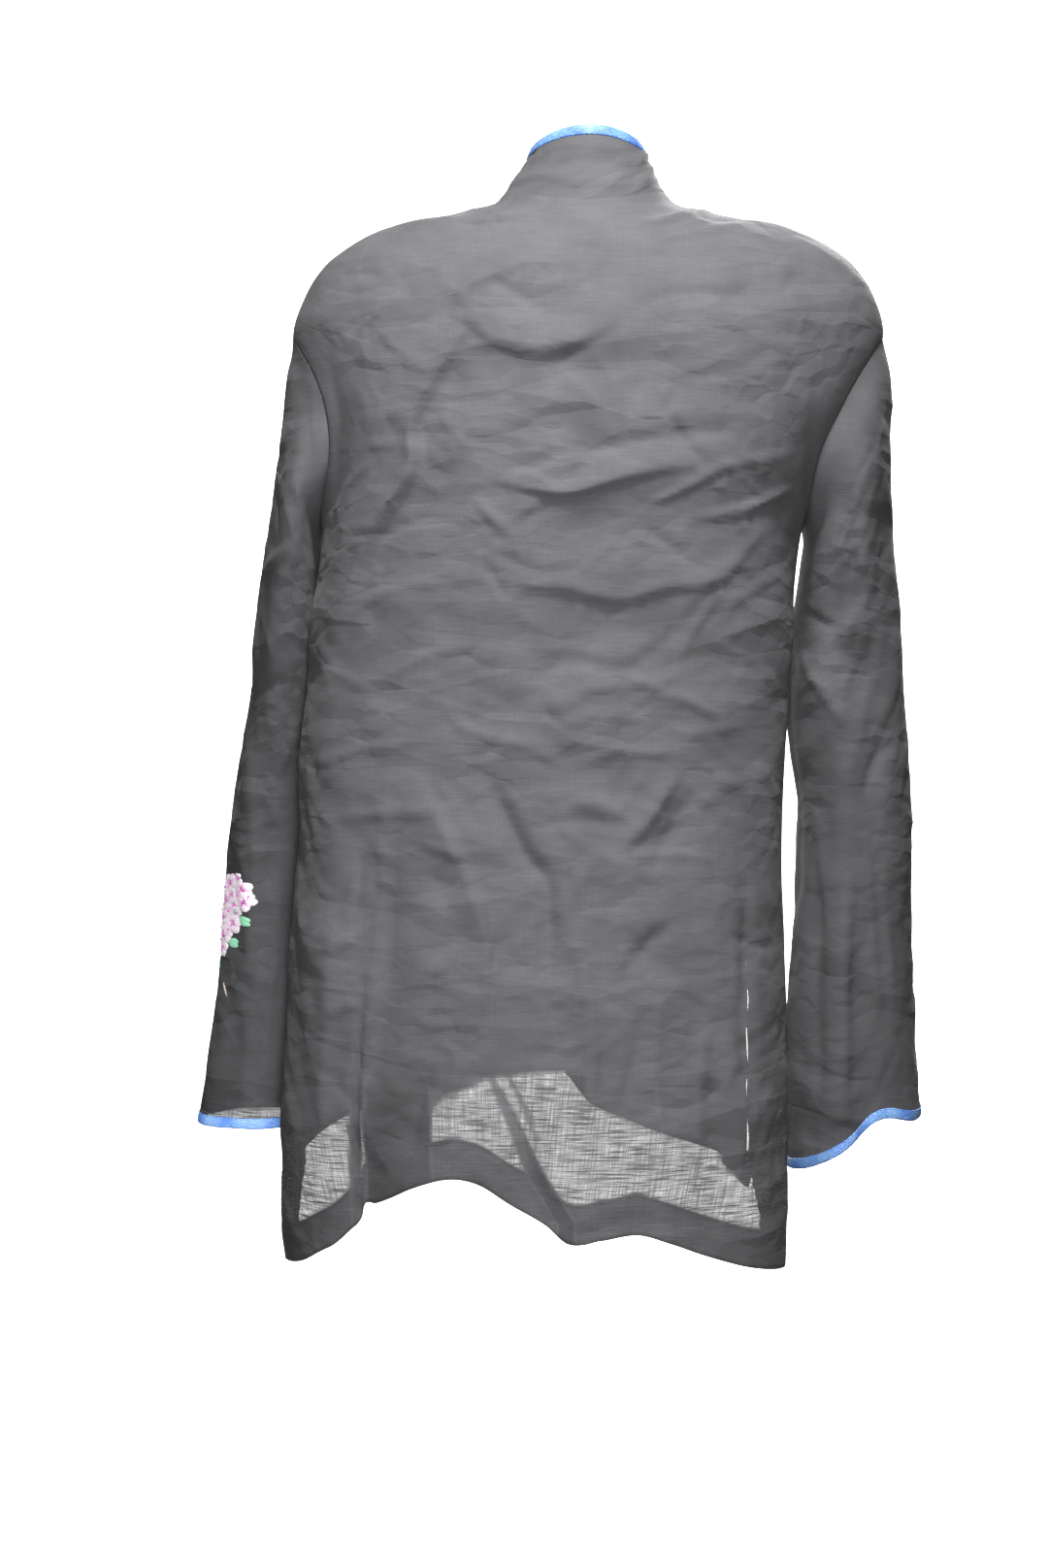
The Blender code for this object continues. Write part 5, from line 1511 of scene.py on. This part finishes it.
# A small lamp for the shiny embroidery and satin alone, so that they stand out as in the photo
shiny = bpy.data.collections.new("shiny_pieces")
for name in ("sleeve_embroidery", "cuff_satin_left", "cuff_satin_right"):
    shiny.objects.link(bpy.data.objects[name])
shine = add_lamp("shine", (0.75, 1.25, -0.35), (0.1, 0.0, -0.6), 0.3, 0.3, 120, 5.4)
shine.light_linking.receiver_collection = shiny


# ---- Buttons
# Six round buttons of dark cast polyester, with a raised rim and four holes. They are sewn to
# the left front with crossed thread and pass through the right front.
BUTTON_RADIUS = 0.0055
BUTTON_THICKNESS = 0.0022
RIM = 0.0008
WELL_DEPTH = 0.0006
HOLE_RING = (0.0029, 0.0015)  # its outer and inner radius
HOLE_TURN = 33.75            # degrees
HOLE_DEPTH = 0.0011
HOLE_EDGE = 0.0001
HOLE_TAPER = 0.00005
ROUNDING = 0.00035
SEWING_RADIUS = 0.00032      # of the thread that holds a button
SEWING_REACH = 0.0042        # from hole to hole

# Cast polyester, smoky, with faint swirls and a soft polish
polyester = bpy.data.materials.new("cast_polyester_button")
tree = new_tree(polyester)
place = add_node(tree, "TexCoord").outputs["Object"]
swirl = add_node(tree, "TexNoise", {"Vector": place, "Scale": 260.0, "Detail": 3.0,
                                    "Distortion": 2.0})
smoke = add_node(tree, "Mix", {0: swirl, 6: linear("#2f3034"), 7: linear("#5b5c62")},
                 data_type="RGBA")
scratches = add_node(tree, "TexNoise", {"Vector": place, "Scale": 1800.0})
polish = add_node(tree, "MapRange", {"Value": scratches, "To Min": 0.22, "To Max": 0.42})
cast = add_node(tree, "BsdfPrincipled", {"Base Color": smoke.outputs[2], "Roughness": polish})
add_node(tree, "OutputMaterial", {"Surface": cast})


def spun_thread(name, dark, light):
    """Spun sewing thread: two plies twisted together, matt."""
    material = bpy.data.materials.new(name)
    tree = new_tree(material)
    place = add_node(tree, "TexCoord").outputs["Object"]
    plies = add_node(tree, "TexNoise", {"Vector": place, "Scale": 2600.0})
    shaded = add_node(tree, "Mix", {0: plies, 6: linear(dark), 7: linear(light)},
                      data_type="RGBA")
    twist = add_node(tree, "Bump", {"Height": plies, "Strength": 0.4, "Distance": 0.0001})
    matt = add_node(tree, "BsdfPrincipled", {"Base Color": shaded.outputs[2],
                                             "Roughness": 0.7, "Normal": twist})
    add_node(tree, "OutputMaterial", {"Surface": matt})
    return material


grey_thread = spun_thread("grey_sewing_thread", "#4a4a4d", "#6a6a6e")
blue_thread = spun_thread("blue_sewing_thread", "#2f62c4", "#5f95e6")


def pick_faces(mesh, wanted):
    """Select the faces whose centre and normal pass a test, and nothing else."""
    for part in (mesh.vertices, mesh.edges, mesh.polygons):
        part.foreach_set("select", [False] * len(part))
    for face in mesh.polygons:
        face.select = wanted(face.center, face.normal)


bpy.ops.object.select_all(action="DESELECT")
bpy.ops.mesh.primitive_cylinder_add(vertices=16, radius=BUTTON_RADIUS, depth=BUTTON_THICKNESS)
button = bpy.context.object
button.name = "button"
pick_faces(button.data, lambda centre, normal: normal.z > 0.9)
bpy.ops.object.mode_set(mode="EDIT")
bpy.ops.mesh.select_mode(type="FACE")
bpy.ops.mesh.inset(thickness=RIM)
bpy.ops.mesh.inset(thickness=RIM * 0.75, depth=-WELL_DEPTH)
bpy.ops.mesh.inset(thickness=BUTTON_RADIUS - RIM * 1.75 - HOLE_RING[0])
bpy.ops.mesh.inset(thickness=HOLE_RING[0] - HOLE_RING[1])
bpy.ops.object.mode_set(mode="OBJECT")


def at_hole(centre, normal):
    """Whether a face of the ring in the well is where a hole goes."""
    turn = (math.degrees(math.atan2(centre.y, centre.x)) - HOLE_TURN + 2) % 90
    return (normal.z > 0.9 and turn < 4
            and HOLE_RING[1] < math.hypot(centre.x, centre.y) < HOLE_RING[0])


pick_faces(button.data, at_hole)
bpy.ops.object.mode_set(mode="EDIT")
bpy.ops.mesh.inset(thickness=HOLE_EDGE, use_individual=True)
bpy.ops.mesh.inset(thickness=HOLE_TAPER, depth=-HOLE_DEPTH, use_individual=True)
bpy.ops.object.mode_set(mode="OBJECT")
# The rim's edges are rounded
pick_faces(button.data, lambda centre, normal: False)
for edge in button.data.edges:
    ends = [button.data.vertices[v].co for v in edge.vertices]
    edge.select = (abs(ends[0].z - ends[1].z) < 1e-6
                   and min(math.hypot(end.x, end.y) for end in ends) > BUTTON_RADIUS * 0.99)
bpy.ops.object.mode_set(mode="EDIT")
bpy.ops.mesh.select_mode(type="EDGE")
bpy.ops.mesh.bevel(offset=ROUNDING, segments=2)
bpy.ops.object.mode_set(mode="OBJECT")
rounding = button.modifiers.new("Rounding", "SUBSURF")
rounding.levels = 2
bpy.ops.object.modifier_apply(modifier=rounding.name)
button.data.shade_smooth()
button.data.materials.append(polyester)
button.data.materials.append(grey_thread)
# Crossed thread from hole to hole
crosses = []
for number in range(2):
    bpy.ops.object.select_all(action="DESELECT")
    bpy.ops.mesh.primitive_cylinder_add(
        vertices=8, radius=SEWING_RADIUS, depth=SEWING_REACH,
        location=(0, 0, BUTTON_THICKNESS / 2 - WELL_DEPTH + 0.0003 * (number + 1)),
        rotation=(0, math.radians(90), math.radians(HOLE_TURN + 90 * number)))
    bpy.ops.object.transform_apply(location=True, rotation=True, scale=True)
    cross = bpy.context.object
    pick_faces(cross.data, lambda centre, normal: math.hypot(centre.x, centre.y) > 0.002)
    bpy.ops.object.mode_set(mode="EDIT")
    bpy.ops.mesh.select_mode(type="FACE")
    bpy.ops.mesh.extrude_faces_move(TRANSFORM_OT_shrink_fatten={"value": 0.0})
    bpy.ops.transform.translate(value=(0, 0, -0.0010))
    bpy.ops.object.mode_set(mode="OBJECT")
    cross.data.shade_smooth()
    cross.data.materials.append(polyester)
    cross.data.materials.append(grey_thread)
    for face in cross.data.polygons:
        face.material_index = 1
    crosses.append(cross)
bpy.ops.object.select_all(action="DESELECT")
for part in crosses + [button]:
    part.select_set(True)
bpy.context.view_layer.objects.active = button
bpy.ops.object.join()

button_places = []
for number in range(1, 7):
    node = bpy.data.objects["button_%d" % number]
    corners = np.array([node.matrix_world @ v.co for v in node.data.vertices])
    centre = (corners.min(axis=0) + corners.max(axis=0)) / 2
    outward = np.linalg.svd(corners - centre, full_matrices=False)[2][2]
    outward *= -np.sign(outward[1])
    turned = Vector(outward).to_track_quat("Z", "Y").to_matrix().to_4x4()
    turned.translation = Vector(centre)
    sewn = add_object("button_sewn_%d" % number, button.data.copy())
    sewn.data.transform(turned)
    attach(sewn, "root")
    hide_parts("button_%d" % number)
    button_places.append(centre)
bpy.data.objects.remove(button)


# ---- Stitching
# Machine stitches in grey thread hold the turned hems, the vent facings and the front edge, and
# blue ones hold the bindings. The buttonholes are worked close in grey thread.
STITCH = 0.0030
STITCH_GAP = 0.0008
STITCH_WIDTH = 0.00045
STITCH_HEIGHT = 0.00028
EDGE_STITCHING = 0.0032      # from the right front's edge
HOLE_LENGTH = 0.0130
HOLE_BAR = 0.0012
HOLE_START = 0.0025          # from the button's middle
HOLE_STITCHES = 27
BAR_WIDTH = 0.0005
BAR_HEIGHT = 0.0004


def add_stitch(parts, start, end, outward, width, height):
    """One stitch, a small closed bar that is rounded off at both ends."""
    along = end - start
    aside = unit(np.cross(along, outward))
    first = sum(len(v) for v, _ in parts)
    corners = [start - outward * 0.0001]
    for share, size in ((0.12, 0.75), (0.5, 1.0), (0.88, 0.75)):
        middle = start + along * share
        corners += [middle + aside * width / 2 * size, middle + outward * height * size,
                    middle - aside * width / 2 * size, middle - outward * 0.00015]
    corners.append(end - outward * 0.0001)
    faces = []
    for side in range(4):
        after = (side + 1) % 4
        faces.append((0, 1 + after, 1 + side))
        for ring in (1, 5):
            faces.append((ring + side, ring + after, ring + 4 + after, ring + 4 + side))
        faces.append((9 + side, 9 + after, 13))
    parts.append((corners, [[first + v for v in face] for face in faces]))


def stitch_along(parts, line, outwards):
    """Machine stitches along a line, each as long as the machine makes it."""
    run = running(np.linalg.norm(np.diff(line, axis=0), axis=1))
    for begin in np.arange(0.001, run[-1] - STITCH, STITCH + STITCH_GAP):
        start, end, outward = [
            np.array([np.interp(at, run, table[:, k]) for k in range(3)])
            for at, table in ((begin, line), (begin + STITCH, line), (begin, outwards))]
        add_stitch(parts, start, end, unit(outward), STITCH_WIDTH, STITCH_HEIGHT)


def on_outer_face(line, points, outward):
    """A line carried to the outer face of a sheet, with the sheet's normals there."""
    places, normals = points.reshape(-1, 3), outward.reshape(-1, 3)
    carried, facing = [], []
    for place in line:
        near = np.argmin(((places - place) ** 2).sum(axis=1))
        normal = normals[near]
        carried.append(place + normal * (np.dot(places[near] - place, normal) + CLOTH / 2))
        facing.append(normal)
    return np.array(carried), np.array(facing)


def add_stitched(name, parts, material):
    """One object from stitches."""
    mesh = bpy.data.meshes.new(name)
    mesh.from_pydata([tuple(v) for vertices, _ in parts for v in vertices], [],
                     [face for _, faces in parts for face in faces])
    mesh.shade_smooth()
    mesh.materials.append(material)
    stitched = add_object(name, mesh)
    face_outward(stitched)
    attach(stitched, "root")


stitches = []
for name, (points, outward, *facing_edges) in sewn_sheets.items():
    hem_top = (points[-HEM_ROWS - 1] + points[-HEM_ROWS]) / 2
    stitch_along(stitches, *on_outer_face(hem_top[2:-2], points, outward))
    for edge in facing_edges:
        stitch_along(stitches, *on_outer_face(edge[:-HEM_ROWS], points, outward))
points, outward, _ = sewn_sheets["front_right"]
from_edge = arc_from_edge(points, 1, True)
edge_line = np.array([[np.interp(EDGE_STITCHING, from_edge[row, ::-1], points[row, ::-1, k])
                       for k in range(3)] for row in range(8, len(points) - 2)])
stitch_along(stitches, *on_outer_face(edge_line, points, outward))
add_stitched("seam_stitches", stitches, grey_thread)

stitches = []
for line, away in binding_lines:
    stitch_along(stitches, line + away * 0.00012, away)
add_stitched("binding_stitches", stitches, blue_thread)

# Worked buttonholes, level, from just past the button's thread towards the side
stitches = []
for centre in button_places:
    across = np.linspace(HOLE_START, HOLE_START - HOLE_LENGTH, HOLE_STITCHES)
    slit = centre + across[:, None] * (1.0, 0.0, 0.0)
    for number, (place, normal) in enumerate(zip(*on_outer_face(slit, points, outward))):
        up = unit(np.cross(normal, (1.0, 0.0, 0.0)))
        up *= np.sign(up[2])
        begin, reach = ((0.0001, HOLE_BAR) if 1 < number < HOLE_STITCHES - 2
                        else (-0.0002, HOLE_BAR * 0.9))
        for side in (-1, 1):
            add_stitch(stitches, place + up * side * begin, place + up * side * reach, normal,
                       BAR_WIDTH, BAR_HEIGHT)
add_stitched("buttonhole_stitches", stitches, grey_thread)
